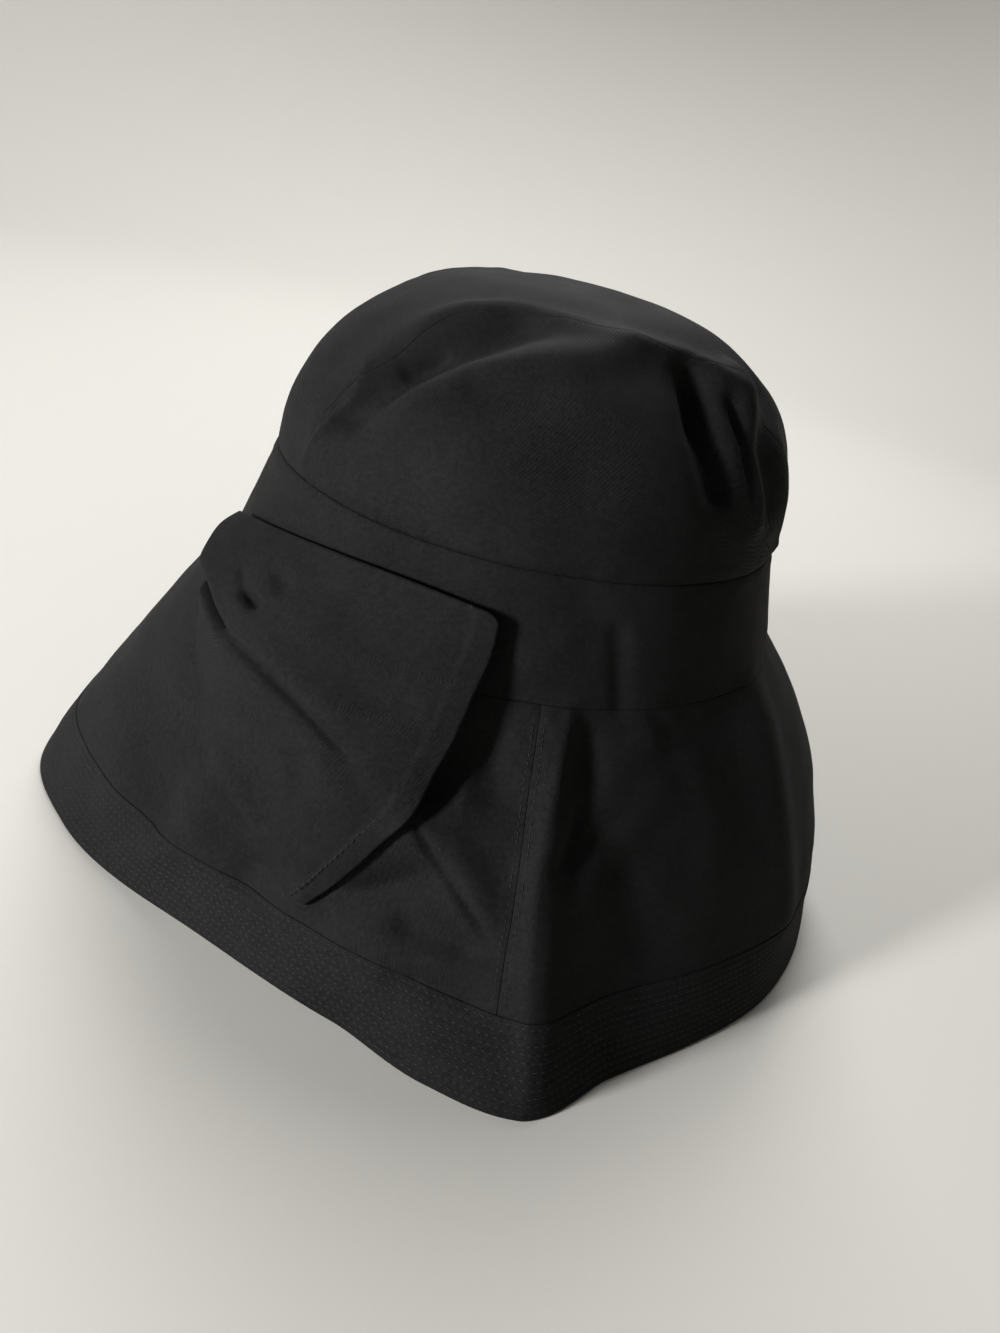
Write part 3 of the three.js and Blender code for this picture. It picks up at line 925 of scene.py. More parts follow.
def mesh_object(name: str, points: np.ndarray, faces: np.ndarray, maps: np.ndarray) -> bpy.types.Object:
    """Makes a smooth mesh object at the origin.

    Args:
        name: The object's name.
        points: Vertices in metres.
        faces: Four vertices for each face.
        maps: The map in mm of each corner of each face.

    Returns:
        The object, linked to the scene.
    """
    mesh = bpy.data.meshes.new(name)
    mesh.vertices.add(len(points))
    mesh.vertices.foreach_set("co", points.astype(np.float32).ravel())
    mesh.loops.add(faces.size)
    mesh.loops.foreach_set("vertex_index", faces.astype(np.int32).ravel())
    mesh.polygons.add(len(faces))
    mesh.polygons.foreach_set("loop_start", np.arange(0, faces.size, 4, dtype=np.int32))
    mesh.polygons.foreach_set("use_smooth", np.ones(len(faces), bool))
    cloth_map = mesh.uv_layers.new(name="cloth")
    cloth_map.data.foreach_set("uv", maps.astype(np.float32).ravel())
    mesh.update(calc_edges=True)
    mesh.validate()
    piece = bpy.data.objects.new(name, mesh)
    bpy.context.scene.collection.objects.link(piece)
    return piece


@dataclass
class Crown:
    """The three panels of the crown: a strip from front to back and two side panels."""

    surface: ClothSurface
    spacing: float = 1.35
    blunt_tip: float = 0.985
    side_width: float = 0.85

    def _turns(self, end: float) -> np.ndarray:
        """Places from the front of the crown to the back, closer together at the ends."""
        return close_rows(-end, end, 2 * self.surface.sizes.crown_arc, self.spacing)

    def strip(self) -> bpy.types.Object:
        """Makes the centre strip.

        Returns:
            The strip.
        """
        s = self.surface.sizes
        shares = close_rows(-1, 1, 2 * s.strip_half_width, self.spacing)
        turn, share = np.meshgrid(self._turns(1.0), shares, indexing="ij")
        along = np.sin(turn * np.pi / 2)
        x = share * (self.surface.strip_edge(along) - s.seam_gap / 2)
        y = along * s.crown_half_length * np.sqrt(1 - (x / s.crown_half_width) ** 2)
        angle, station = self.surface.crown_place(x, y)
        piece = ClothPiece(self.surface, "crown_strip_cloth")
        edges = EdgeFinish(first=EdgeShape.PRESSED, last=EdgeShape.PRESSED)
        return piece.build(angle, station, s.cloth, edges)

    def side(self, name: str, side: Side) -> bpy.types.Object:
        """Makes one side panel.

        Args:
            name: The piece's name.
            side: Which side of the head it covers.

        Returns:
            The panel.
        """
        s = self.surface.sizes
        shares = close_rows(0, 1, s.crown_half_width * self.side_width, self.spacing)
        turn, share = np.meshgrid(self._turns(self.blunt_tip), shares, indexing="ij")
        along = np.sin(turn * np.pi / 2)
        edge = self.surface.strip_edge(along) + s.seam_gap / 2
        y = along * s.crown_half_length * np.sqrt(1 - (edge / s.crown_half_width) ** 2)
        reach = s.crown_half_width * np.sqrt(1 - (y / s.crown_half_length) ** 2)
        x = edge + (reach - edge) * np.sin(share * np.pi / 2)
        angle, station = self.surface.crown_place(side.value * x, y)
        edges = EdgeFinish(first=EdgeShape.PRESSED)
        return ClothPiece(self.surface, name).build(angle, station, s.cloth, edges)


@dataclass
class SideBand:
    """The plain band between the crown and the brim."""

    surface: ClothSurface
    spacing: float = 1.3
    columns: int = 440

    def make(self) -> bpy.types.Object:
        """Makes the band.

        Returns:
            The band.
        """
        s = self.surface.sizes
        trim = s.seam_gap / 2 / s.band_slant
        rows = close_rows(1 + trim, 2 - trim, s.band_slant, self.spacing)
        station, angle = np.meshgrid(rows, np.linspace(0, 360, self.columns + 1), indexing="ij")
        edges = EdgeFinish(bottom=EdgeShape.PRESSED, first=None, last=None)
        return ClothPiece(self.surface, "side_band_cloth").build(angle, station, s.cloth, edges, ring=True)


@dataclass
class Brim:
    """The two halves of the brim, which meet at a seam on each side of the head."""

    surface: ClothSurface
    spacing: float = 1.45
    mean_radius: float = 120.0
    stitch_offset: float = 1.7
    stitch_lift: float = 0.05

    def half(self, name: str, start: float, end: float) -> bpy.types.Object:
        """Makes one half.

        Args:
            name: The piece's name.
            start: The angle of its first side seam.
            end: The angle of its last side seam.

        Returns:
            The half, trimmed at its seams.
        """
        s = self.surface.sizes
        trim = s.seam_gap / 2 / s.brim_slant
        side_trim = float(np.degrees(s.seam_gap / 2 / (s.head_width / 2 - s.cloth)))
        long = s.brim_slant * (s.hem_station - 2)
        rows = close_rows(2 + trim, s.hem_station - trim, long, self.spacing)
        round_length = np.radians(end - start) * self.mean_radius
        angles = close_rows(start + side_trim, end - side_trim, round_length, self.spacing)
        station, angle = np.meshgrid(rows, angles, indexing="ij")
        pressed = EdgeShape.PRESSED
        edges = EdgeFinish(pressed, pressed, pressed, pressed)
        return ClothPiece(self.surface, name).build(angle, station, s.cloth, edges)

    def stitch_paths(self) -> list[np.ndarray]:
        """The two rows of stitching beside each side seam, in mm.

        Returns:
            One path for each row.
        """
        s = self.surface.sizes
        station = np.linspace(2.04, s.hem_station - 0.02, 90)
        paths = []
        for seam in (s.left_seam, s.right_seam):
            for side in Side:
                radius = self.surface.profile(np.full_like(station, seam), station)[0]
                angle = seam + np.degrees(side.value * self.stitch_offset / radius)
                paths.append(self.surface.points(angle, station, self.stitch_lift))
        return paths


@dataclass
class HemBand:
    """The band of close stitching round the rim."""

    surface: ClothSurface
    spacing: float = 0.8
    columns: int = 640
    stitch_rows: int = 11
    first_row: float = 1.6
    row_pitch: float = 2.45
    quilting: float = 0.16

    @property
    def proud(self) -> float:
        """How far the hem stands off the brim on each face, in mm."""
        s = self.surface.sizes
        return (s.hem_cloth - s.cloth) / 2

    def make(self) -> bpy.types.Object:
        """Makes the band, drawn in a little along each row of stitching.

        Returns:
            The band.
        """
        s = self.surface.sizes
        trim = s.seam_gap / 2 / s.brim_slant
        rows = close_rows(s.hem_station + trim, 3, s.hem_width, self.spacing)
        station, angle = np.meshgrid(rows, np.linspace(0, 360, self.columns + 1), indexing="ij")
        below = (station - s.hem_station) * s.brim_slant
        wave = np.cos((below - self.first_row) / self.row_pitch * 2 * np.pi)
        inside = smooth_step(below, 0, self.first_row) * smooth_step(s.hem_width - below, 0.5, 2.0)
        edges = EdgeFinish(top=EdgeShape.PRESSED, bottom=EdgeShape.FOLDED, first=None, last=None)
        return ClothPiece(self.surface, "hem_band_cloth").build(
            angle, station, s.hem_cloth, edges, self.proud, -self.quilting * wave * inside, ring=True
        )

    def stitch_paths(self) -> list[np.ndarray]:
        """The lines of the rows of stitching, in mm.

        Returns:
            One path for each row.
        """
        s = self.surface.sizes
        angle = np.linspace(0, 360, self.columns + 1)
        paths = []
        for row in range(self.stitch_rows):
            below = self.first_row + row * self.row_pitch
            station = np.full_like(angle, s.hem_station + below / s.brim_slant)
            paths.append(self.surface.points(angle, station, self.proud - self.quilting))
        return paths


@dataclass
class Pocket:
    """The loose patch pocket that hangs from the band over the brim, with lengths in mm."""

    surface: ClothSurface
    fall: float = 110.0
    top_width: float = 95.0
    middle_width: float = 90.0
    rows: int = 120
    columns: int = 96
    hem_width: float = 8.0
    hem_step: float = 0.4
    hem_blend: float = 0.6
    bridge: float = 0.14
    tuck: float = 15.0
    sunk_outside: float = 0.15
    sunk_inside: float = 0.6
    corner: float = 4.5
    settles: float = 0.6
    stitch_lift: float = 0.1

    def grid(self, down: np.ndarray, back: np.ndarray) -> tuple[np.ndarray, np.ndarray, np.ndarray]:
        """Where the pocket's cloth lies.

        Args:
            down: From 0 at the top edge to 1 at the tip.
            back: From 0 at the front edge to 1 at the rear edge.

        Returns:
            Angles, stations, and how far the inside stands off the hat, in mm.
        """
        inner = np.stack([self.corner - down * self.fall, self.corner - (1 - back) * self.top_width])
        long = np.linalg.norm(inner, axis=0)
        pull = np.where((inner > 0).all(0), inner.max(0) / np.maximum(long, 1e-6), 1.0)
        down = np.where(pull < 1, (self.corner - inner[0] * pull) / self.fall, down)
        back = np.where(pull < 1, 1 - (self.corner - inner[1] * pull) / self.top_width, back)
        places = [index / (len(POCKET) - 1) for index in range(len(POCKET))]

        def column(values: list[float]) -> np.ndarray:
            """One column of the table, read down the pocket."""
            return held_rows(places, values, down)

        front = column([row.front[0] for row in POCKET])
        angle = front + (column([row.rear[0] for row in POCKET]) - front) * back
        high = column([row.front[1] for row in POCKET])
        station = high + (column([row.rear[1] for row in POCKET]) - high) * back
        station = station - column([row.bow for row in POCKET]) * 4 * back * (1 - back)
        offs = [column([row.off[index] for row in POCKET]) for index in range(4)]
        low = np.clip(np.floor(back * 3).astype(int), 0, 2)
        share = back * 3 - low
        padded = np.stack([offs[0], *offs, offs[3]])

        def take(step: int) -> np.ndarray:
            """The stand-off of the place that lies some steps on from the one before."""
            return np.take_along_axis(padded, (low + step)[None], axis=0)[0]

        start = (take(2) - take(0)) / 2
        end = (take(3) - take(1)) / 2
        s2 = share * share
        s3 = s2 * share
        off = (2 * s3 - 3 * s2 + 1) * take(1) + (s3 - 2 * s2 + share) * start
        off = off + (3 * s2 - 2 * s3) * take(2) + (s3 - s2) * end
        return angle, station, np.maximum(off, 0) * self.surface.sizes.pocket_depth

    def outside(self, down: np.ndarray, back: np.ndarray) -> np.ndarray:
        """Points on the outside of the pocket before its creases, in mm.

        The hat bends at the brim seam, and the pocket bridges the bend, so each point is the
        mean of a few along the cloth.

        Args:
            down: From 0 at the top edge to 1 at the tip.
            back: From 0 at the front edge to 1 at the rear edge.

        Returns:
            Points about the hat's axis, with x, y and z last.
        """
        s = self.surface.sizes
        angle, station, off = self.grid(down, back)
        proud = s.pocket_seat + s.pocket_cloth + off
        reach = self.bridge * np.clip(off / 6, 0, 1)
        steps = (-1.0, -0.6, -0.2, 0.2, 0.6, 1.0)
        spread = [self.surface.points(angle, station + step * reach, proud) for step in steps]
        return sum(spread) / len(steps)

    @staticmethod
    def faces_out(points: np.ndarray) -> np.ndarray:
        """The directions that a grid of points faces, away from the hat's axis.

        Args:
            points: The grid of points.

        Returns:
            Directions of length 1.
        """
        down = np.gradient(points, axis=0)
        back = np.gradient(points, axis=1)
        facing = np.cross(down, back)
        facing /= np.maximum(np.linalg.norm(facing, axis=-1, keepdims=True), 1e-9)
        middle = facing[facing.shape[0] // 3, facing.shape[1] // 2]
        place = points[points.shape[0] // 3, points.shape[1] // 2]
        return facing if middle[:2] @ place[:2] > 0 else -facing

    def layout(self) -> tuple[np.ndarray, np.ndarray, np.ndarray, np.ndarray]:
        """The grid of the pocket: shares down and back, points with creases, and facings.

        Returns:
            Four grids of the same shape.
        """
        downs = close_rows(0, 1, self.fall, self.fall / self.rows)
        backs = close_rows(0, 1, self.middle_width, self.middle_width / self.columns)
        down, back = np.meshgrid(downs, backs, indexing="ij")
        base = self.outside(down, back)
        paths = [(self.outside(*np.array(c.path, float).T), c) for c in POCKET_CREASES]
        facing = self.faces_out(base)
        return down, back, base + facing * crease_lift(base, paths)[..., None], facing

    def make(self) -> bpy.types.Object:
        """Makes the pocket, with a folded hem along its rear edge.

        Its free edges are rounded, and its lower front edge thins out until it lies on the brim.

        Returns:
            The pocket.
        """
        s = self.surface.sizes
        down, back, base, facing = self.layout()
        across = cloth_distance(base, 1)
        fallen = cloth_distance(base, 0)
        behind = across[:, -1:] - across
        hem_start = self.hem_width - self.hem_blend
        hem_end = self.hem_width + self.hem_blend
        hem = self.hem_step * (1 - smooth_step(behind, hem_start, hem_end))
        piece = ClothPiece(self.surface, "pocket_patch_cloth")
        free = EdgeFinish(EdgeShape.FOLDED, EdgeShape.FOLDED, EdgeShape.FOLDED, EdgeShape.FOLDED)
        outside, inside = piece.relief(base, free, s.pocket_cloth)
        stands = s.pocket_seat + s.pocket_cloth + self.grid(down, back)[2]
        lies = self.settles * smooth_step(down, 0.55, 0.75)
        outside = outside + hem - lies
        inside = inside - s.pocket_cloth - lies
        front = np.exp(-((across / self.tuck) ** 2)) * smooth_step(down, 0.42, 0.56)
        foot = np.exp(-(((fallen[-1:] - fallen) / self.tuck) ** 2)) * (1 - smooth_step(back, 0.5, 0.95))
        tucked = np.maximum(front, foot)
        outside = outside * (1 - tucked) - (stands + self.sunk_outside) * tucked
        inside = inside * (1 - tucked) - (stands + self.sunk_inside) * tucked
        outer = base + facing * outside[..., None]
        inner = base + facing * inside[..., None]
        return piece.join(outer, inner, across, fallen, False)

    def stitch_paths(self) -> list[np.ndarray]:
        """The line of stitching along the rear hem, in mm.

        Returns:
            One path.
        """
        _, _, base, facing = self.layout()
        across = cloth_distance(base, 1)
        path = []
        for row in range(4, len(base) - 6):
            place = across[row, -1] - self.hem_width
            if place < self.hem_width / 2:
                break
            column = int(np.searchsorted(across[row], place))
            path.append(base[row, column] + facing[row, column] * self.stitch_lift)
        return [np.array(path)]


@dataclass(frozen=True)
class ClothFinish:
    """A black woven cloth: colours are linear, and lengths are in mm."""

    slot: str
    dark: tuple[float, float, float] = (0.0034, 0.0034, 0.0035)
    light: tuple[float, float, float] = (0.0108, 0.0108, 0.0109)
    thread_pitch: float = 0.55
    roughness: float = 0.72
    roughness_spread: float = 0.16
    specular: float = 0.04
    sheen: float = 0.012
    sheen_roughness: float = 0.35
    sheen_tint: tuple[float, float, float] = (0.9, 0.92, 1.0)
    lint: tuple[float, float, float] = (0.12, 0.12, 0.115)
    weave_bump: float = 0.45
    weave_height: float = 0.2
    ripple_bump: float = 0.3
    ripple_height: float = 0.6

    def material(self) -> bpy.types.Material:
        """Builds the material: a plain weave, soft blotches and specks of pale lint.

        Returns:
            The material.
        """
        made = bpy.data.materials.new(self.slot)
        made.use_nodes = True
        maker = NodeMaker(made.node_tree)
        shader = maker.shader()
        cloth_map = maker.add("ShaderNodeUVMap", uv_map="cloth").outputs["UV"]
        place = maker.add("ShaderNodeTexCoord").outputs["Object"]

        wave_scale = float(np.pi / 10 / self.thread_pitch)
        warp = maker.wave(cloth_map, wave_scale, "X")
        weft = maker.wave(cloth_map, wave_scale, "Y")
        over = maker.add("ShaderNodeTexChecker", Scale=1 / self.thread_pitch)
        maker.link(cloth_map, over.inputs["Vector"])
        weave = maker.mix(over.outputs["Fac"], warp, weft)
        slub = maker.noise(cloth_map, 0.9, 3.0, (1.0, 9.0, 1.0))
        threads = maker.maths("MULTIPLY", weave, maker.span(slub, 0.3, 0.7, 0.55, 1.0))

        blotch = maker.noise(place, 28.0, 4.0)
        grain = maker.span(maker.noise(place, 760.0, 3.0), 0.34, 0.66, 0.0, 1.0)
        fade = maker.maths("MULTIPLY", maker.span(blotch, 0.3, 0.7, 0.0, 1.0), 0.55)
        shade = maker.maths("ADD", fade, maker.maths("MULTIPLY", grain, 0.45))
        shade = maker.maths("MULTIPLY", shade, maker.span(threads, 0.0, 1.0, 0.78, 1.12))
        colour = maker.mix_colour(shade, self.dark, self.light)
        colour = maker.mix_colour(maker.lint(place), colour, self.lint)
        maker.link(colour, shader.inputs["Base Color"])
        low = self.roughness - self.roughness_spread / 2
        high = self.roughness + self.roughness_spread / 2
        maker.link(maker.span(blotch, 0.3, 0.7, low, high), shader.inputs["Roughness"])

        fibre = maker.noise(place, 1900.0, 2.0)
        height = maker.maths("ADD", threads, maker.maths("MULTIPLY", fibre, 0.5))
        bump = maker.add("ShaderNodeBump", Strength=self.weave_bump, Distance=self.weave_height * MM)
        maker.link(height, bump.inputs["Height"])
        soft = maker.noise(place, 210.0, 3.0)
        ripple = maker.add("ShaderNodeBump", Strength=self.ripple_bump, Distance=self.ripple_height * MM)
        maker.link(soft, ripple.inputs["Height"])
        maker.link(bump.outputs["Normal"], ripple.inputs["Normal"])
        maker.link(ripple.outputs["Normal"], shader.inputs["Normal"])
        shader.inputs["Specular IOR Level"].default_value = self.specular
        shader.inputs["Sheen Weight"].default_value = self.sheen
        shader.inputs["Sheen Roughness"].default_value = self.sheen_roughness
        shader.inputs["Sheen Tint"].default_value = (*self.sheen_tint, 1.0)
        return made


@dataclass(frozen=True)
class ThreadFinish:
    """A smooth twisted sewing thread."""

    name: str = "sewing_thread"
    colour: tuple[float, float, float] = (0.0048, 0.0048, 0.005)
    roughness: float = 0.6
    specular: float = 0.2
    sheen: float = 0.03
    dark_share: float = 0.6
    twist_bump: float = 0.4
    twist_height: float = 0.1

    def material(self) -> bpy.types.Material:
        """Builds the material, with a fine twist along the thread.

        Returns:
            The material.
        """
        made = bpy.data.materials.new(self.name)
        made.use_nodes = True
        maker = NodeMaker(made.node_tree)
        shader = maker.shader()
        place = maker.add("ShaderNodeTexCoord").outputs["Object"]
        tone = maker.noise(place, 260.0, 2.0)
        darker = tuple(self.dark_share * value for value in self.colour)
        maker.link(maker.mix_colour(tone, darker, self.colour), shader.inputs["Base Color"])
        twist = maker.noise(place, 3200.0, 1.0)
        bump = maker.add("ShaderNodeBump", Strength=self.twist_bump, Distance=self.twist_height * MM)
        maker.link(twist, bump.inputs["Height"])
        maker.link(bump.outputs["Normal"], shader.inputs["Normal"])
        shader.inputs["Roughness"].default_value = self.roughness
        shader.inputs["Specular IOR Level"].default_value = self.specular
        shader.inputs["Sheen Weight"].default_value = self.sheen
        return made


@dataclass
class NodeMaker:
    """Adds and joins the nodes of one tree."""

    tree: bpy.types.NodeTree

    def add(self, kind: str, **values: object) -> bpy.types.Node:
        """Adds a node.

        Args:
            kind: The node's type.
            values: Properties by their lower-case name, and sockets by their own name.

        Returns:
            The node.
        """
        node = self.tree.nodes.new(kind)
        for name, value in values.items():
            if name[0].isupper():
                node.inputs[name].default_value = value
            else:
                setattr(node, name, value)
        return node

    def link(self, start: bpy.types.NodeSocket, end: bpy.types.NodeSocket) -> None:
        """Joins an output to an input."""
        self.tree.links.new(start, end)

    def shader(self) -> bpy.types.Node:
        """The tree's main shader."""
        return self.tree.nodes["Principled BSDF"]

    def maths(self, operation: str, first: Value, second: Value) -> bpy.types.NodeSocket:
        """One step of arithmetic.

        Args:
            operation: The name of the operation.
            first: A socket or a number.
            second: A socket or a number.

        Returns:
            The result.
        """
        node = self.add("ShaderNodeMath", operation=operation)
        for index, value in enumerate((first, second)):
            if isinstance(value, (int, float)):
                node.inputs[index].default_value = value
            else:
                self.link(value, node.inputs[index])
        return node.outputs[0]

    def span(
        self, value: bpy.types.NodeSocket, low: float, high: float, new_low: float, new_high: float
    ) -> bpy.types.NodeSocket:
        """Maps a socket's range to another range.

        Args:
            value: The socket.
            low: The start of its range.
            high: The end of its range.
            new_low: What the start becomes.
            new_high: What the end becomes.

        Returns:
            The result.
        """
        node = self.add("ShaderNodeMapRange")
        self.link(value, node.inputs["Value"])
        ends = {"From Min": low, "From Max": high, "To Min": new_low, "To Max": new_high}
        for name, number in ends.items():
            node.inputs[name].default_value = number
        return node.outputs["Result"]

    def noise(
        self,
        place: bpy.types.NodeSocket,
        scale: float,
        detail: float,
        stretch: tuple[float, float, float] | None = None,
    ) -> bpy.types.NodeSocket:
        """Smooth noise.

        Args:
            place: Where it is read.
            scale: How many bumps it has for each unit.
            detail: How many finer layers it has.
            stretch: How far it is drawn in along each axis.

        Returns:
            The noise, from 0 to 1.
        """
        if stretch is not None:
            mapping = self.add("ShaderNodeMapping", Scale=stretch)
            self.link(place, mapping.inputs["Vector"])
            place = mapping.outputs["Vector"]
        node = self.add("ShaderNodeTexNoise", Scale=scale, Detail=detail)
        self.link(place, node.inputs["Vector"])
        return node.outputs["Fac"]

    def wave(self, place: bpy.types.NodeSocket, scale: float, direction: str) -> bpy.types.NodeSocket:
        """Straight threads.

        Args:
            place: The map that they follow.
            scale: How close together they lie.
            direction: The axis that they cross.

        Returns:
            The height of the threads, from 0 to 1.
        """
        node = self.add("ShaderNodeTexWave", bands_direction=direction, Scale=scale)
        self.link(place, node.inputs["Vector"])
        return node.outputs["Fac"]

    def mix(
        self, share: bpy.types.NodeSocket, first: bpy.types.NodeSocket, second: bpy.types.NodeSocket
    ) -> bpy.types.NodeSocket:
        """A mix of two numbers.

        Args:
            share: The share of the second.
            first: The first number.
            second: The second number.

        Returns:
            The mix.
        """
        node = self.add("ShaderNodeMix")
        self.link(share, node.inputs["Factor"])
        self.link(first, node.inputs["A"])
        self.link(second, node.inputs["B"])
        return node.outputs["Result"]

    def mix_colour(self, share: bpy.types.NodeSocket, first: Tint, second: Tint) -> bpy.types.NodeSocket:
        """A mix of two colours.

        Args:
            share: The share of the second.
            first: A socket or three numbers.
            second: A socket or three numbers.

        Returns:
            The mix.
        """
        node = self.add("ShaderNodeMix", data_type="RGBA")
        self.link(share, node.inputs["Factor"])
        for socket, value in ((node.inputs[6], first), (node.inputs[7], second)):
            if isinstance(value, tuple):
                socket.default_value = (*value, 1.0)
            else:
                self.link(value, socket)
        return node.outputs[2]

    def lint(self, place: bpy.types.NodeSocket) -> bpy.types.NodeSocket:
        """Sparse specks of lint.

        Args:
            place: Where they lie.

        Returns:
            How far each place is covered, from 0 to 0.8.
        """
        cells = self.add("ShaderNodeTexVoronoi", Scale=95.0)
        self.link(place, cells.inputs["Vector"])
        near = self.span(cells.outputs["Distance"], 0.0, 0.022, 1.0, 0.0)
        few = self.noise(place, 60.0, 1.0)
        return self.maths("MULTIPLY", near, self.span(few, 0.62, 0.7, 0.0, 0.8))


@dataclass
class StitchLine:
    """Rows of stitches laid along paths by a node tree, with lengths in mm."""

    name: str
    finish: bpy.types.Material
    seed: int
    pitch: float = 2.6
    length: float = 2.1
    thickness: float = 0.4
    unevenness: float = 0.12

    def _tree(self) -> bpy.types.NodeTree:
        """Builds the tree: paths are cut at the pitch, and each cut gets a stitch.

        Returns:
            The node tree.
        """
        tree = bpy.data.node_groups.new(self.name, "GeometryNodeTree")
        face = tree.interface
        face.new_socket("Geometry", in_out="INPUT", socket_type="NodeSocketGeometry")
        for label in ("Pitch", "Length", "Thickness", "Unevenness"):
            face.new_socket(label, in_out="INPUT", socket_type="NodeSocketFloat")
        face.new_socket("Seed", in_out="INPUT", socket_type="NodeSocketInt")
        face.new_socket("Finish", in_out="INPUT", socket_type="NodeSocketMaterial")
        face.new_socket("Geometry", in_out="OUTPUT", socket_type="NodeSocketGeometry")
        maker = NodeMaker(tree)
        given = maker.add("NodeGroupInput").outputs
        result = maker.add("NodeGroupOutput")
        curve = maker.add("GeometryNodeMeshToCurve")
        maker.link(given["Geometry"], curve.inputs["Mesh"])
        cut = maker.add("GeometryNodeResampleCurve", mode="LENGTH")
        maker.link(curve.outputs["Curve"], cut.inputs["Curve"])
        maker.link(given["Pitch"], cut.inputs["Length"])
        bead = maker.add("GeometryNodeMeshIcoSphere", Radius=0.5, Subdivisions=1)
        shape = maker.add("ShaderNodeCombineXYZ")
        maker.link(given["Length"], shape.inputs["X"])
        maker.link(given["Thickness"], shape.inputs["Y"])
        maker.link(given["Thickness"], shape.inputs["Z"])
        sized = maker.add("GeometryNodeTransform")
        maker.link(bead.outputs["Mesh"], sized.inputs["Geometry"])
        maker.link(shape.outputs["Vector"], sized.inputs["Scale"])
        smooth = maker.add("GeometryNodeSetShadeSmooth")
        maker.link(sized.outputs["Geometry"], smooth.inputs["Geometry"])
        turn = maker.add("FunctionNodeAlignRotationToVector", axis="X")
        maker.link(maker.add("GeometryNodeInputTangent").outputs["Tangent"], turn.inputs["Vector"])
        uneven = maker.add("FunctionNodeRandomValue", data_type="FLOAT")
        maker.link(maker.maths("SUBTRACT", 1.0, given["Unevenness"]), uneven.inputs[2])
        maker.link(maker.maths("ADD", 1.0, given["Unevenness"]), uneven.inputs[3])
        maker.link(given["Seed"], uneven.inputs["Seed"])
        laid = maker.add("GeometryNodeInstanceOnPoints")
        maker.link(cut.outputs["Curve"], laid.inputs["Points"])
        maker.link(smooth.outputs["Geometry"], laid.inputs["Instance"])
        maker.link(turn.outputs["Rotation"], laid.inputs["Rotation"])
        maker.link(uneven.outputs[1], laid.inputs["Scale"])
        real = maker.add("GeometryNodeRealizeInstances")
        maker.link(laid.outputs["Instances"], real.inputs["Geometry"])
        painted = maker.add("GeometryNodeSetMaterial")
        maker.link(real.outputs["Geometry"], painted.inputs["Geometry"])
        maker.link(given["Finish"], painted.inputs["Material"])
        maker.link(painted.outputs["Geometry"], result.inputs["Geometry"])
        return tree

    def lay(self, paths: list[np.ndarray]) -> bpy.types.Object:
        """Lays stitches along paths.

        Args:
            paths: Lines of points in metres.

        Returns:
            One plain mesh with all the stitches.
        """
        points = np.concatenate(paths)
        links = []
        first = 0
        for path in paths:
            links += [(first + index, first + index + 1) for index in range(len(path) - 1)]
            first += len(path)
        lines = bpy.data.meshes.new(self.name + "_lines")
        lines.from_pydata(points.tolist(), links, [])
        holder = bpy.data.objects.new(self.name + "_lines", lines)
        bpy.context.scene.collection.objects.link(holder)
        tree = self._tree()
        modifier = holder.modifiers.new("stitches", "NODES")
        modifier.node_group = tree
        given = {
            "Pitch": self.pitch * MM,
            "Length": self.length * MM,
            "Thickness": self.thickness * MM,
            "Unevenness": self.unevenness,
            "Seed": self.seed,
            "Finish": self.finish,
        }
        for item in tree.interface.items_tree:
            if item.in_out == "INPUT" and item.name in given:
                modifier[item.identifier] = given[item.name]
        graph = bpy.context.evaluated_depsgraph_get()
        mesh = bpy.data.meshes.new_from_object(holder.evaluated_get(graph))
        bpy.data.objects.remove(holder)
        mesh.name = self.name
        piece = bpy.data.objects.new(self.name, mesh)
        bpy.context.scene.collection.objects.link(piece)
        return piece


@dataclass(frozen=True)
class View:
    """The camera's place about the hat's axis: angles in degrees, lengths in mm."""

    azimuth: float = 75.98
    elevation: float = 28.75
    roll: float = 14.6
    distance: float = 377.7
    aside: float = 2.98
    above: float = 33.86
    aim_height: float = 105.6
    lens: float = 27.0

    def camera(self, axis: np.ndarray) -> bpy.types.Object:
        """Makes the camera.

        Args:
            axis: The place of the hat's axis, in mm.

        Returns:
            The camera object.
        """
        turn, rise, roll = np.radians((self.azimuth, self.elevation, self.roll))
        back = np.array([np.sin(turn) * np.cos(rise), -np.cos(turn) * np.cos(rise), np.sin(rise)])
        level = np.array([np.cos(turn), np.sin(turn), 0.0])
        upright = np.cross(back, level)
        right = np.cos(roll) * level + np.sin(roll) * upright
        up = np.cos(roll) * upright - np.sin(roll) * level
        eye = np.array([0, 0, self.aim_height]) + back * self.distance
        eye = (eye - right * self.aside - up * self.above + axis) * MM
        data = bpy.data.cameras.new("photo_view")
        data.lens = self.lens
        data.clip_start = 0.01
        made = bpy.data.objects.new("photo_view", data)
        columns = np.stack([right, up, back], 1)
        matrix = Matrix(columns.tolist()).to_4x4()
        matrix.translation = eye.tolist()
        made.matrix_world = matrix
        bpy.context.scene.collection.objects.link(made)
        bpy.context.scene.camera = made
        return made


@dataclass(frozen=True)
class Lamp:
    """A soft square light: angles in degrees, lengths in metres and power in watts."""

    name: str
    azimuth: float
    elevation: float
    distance: float
    size: float
    power: float


LAMPS = (
    Lamp("key", 26, 12, 1.5, 0.22, 52),
    Lamp("overhead", -100, 52, 1.6, 0.9, 37),
    Lamp("fill", 150, 5, 1.8, 1.0, 1.3),
)


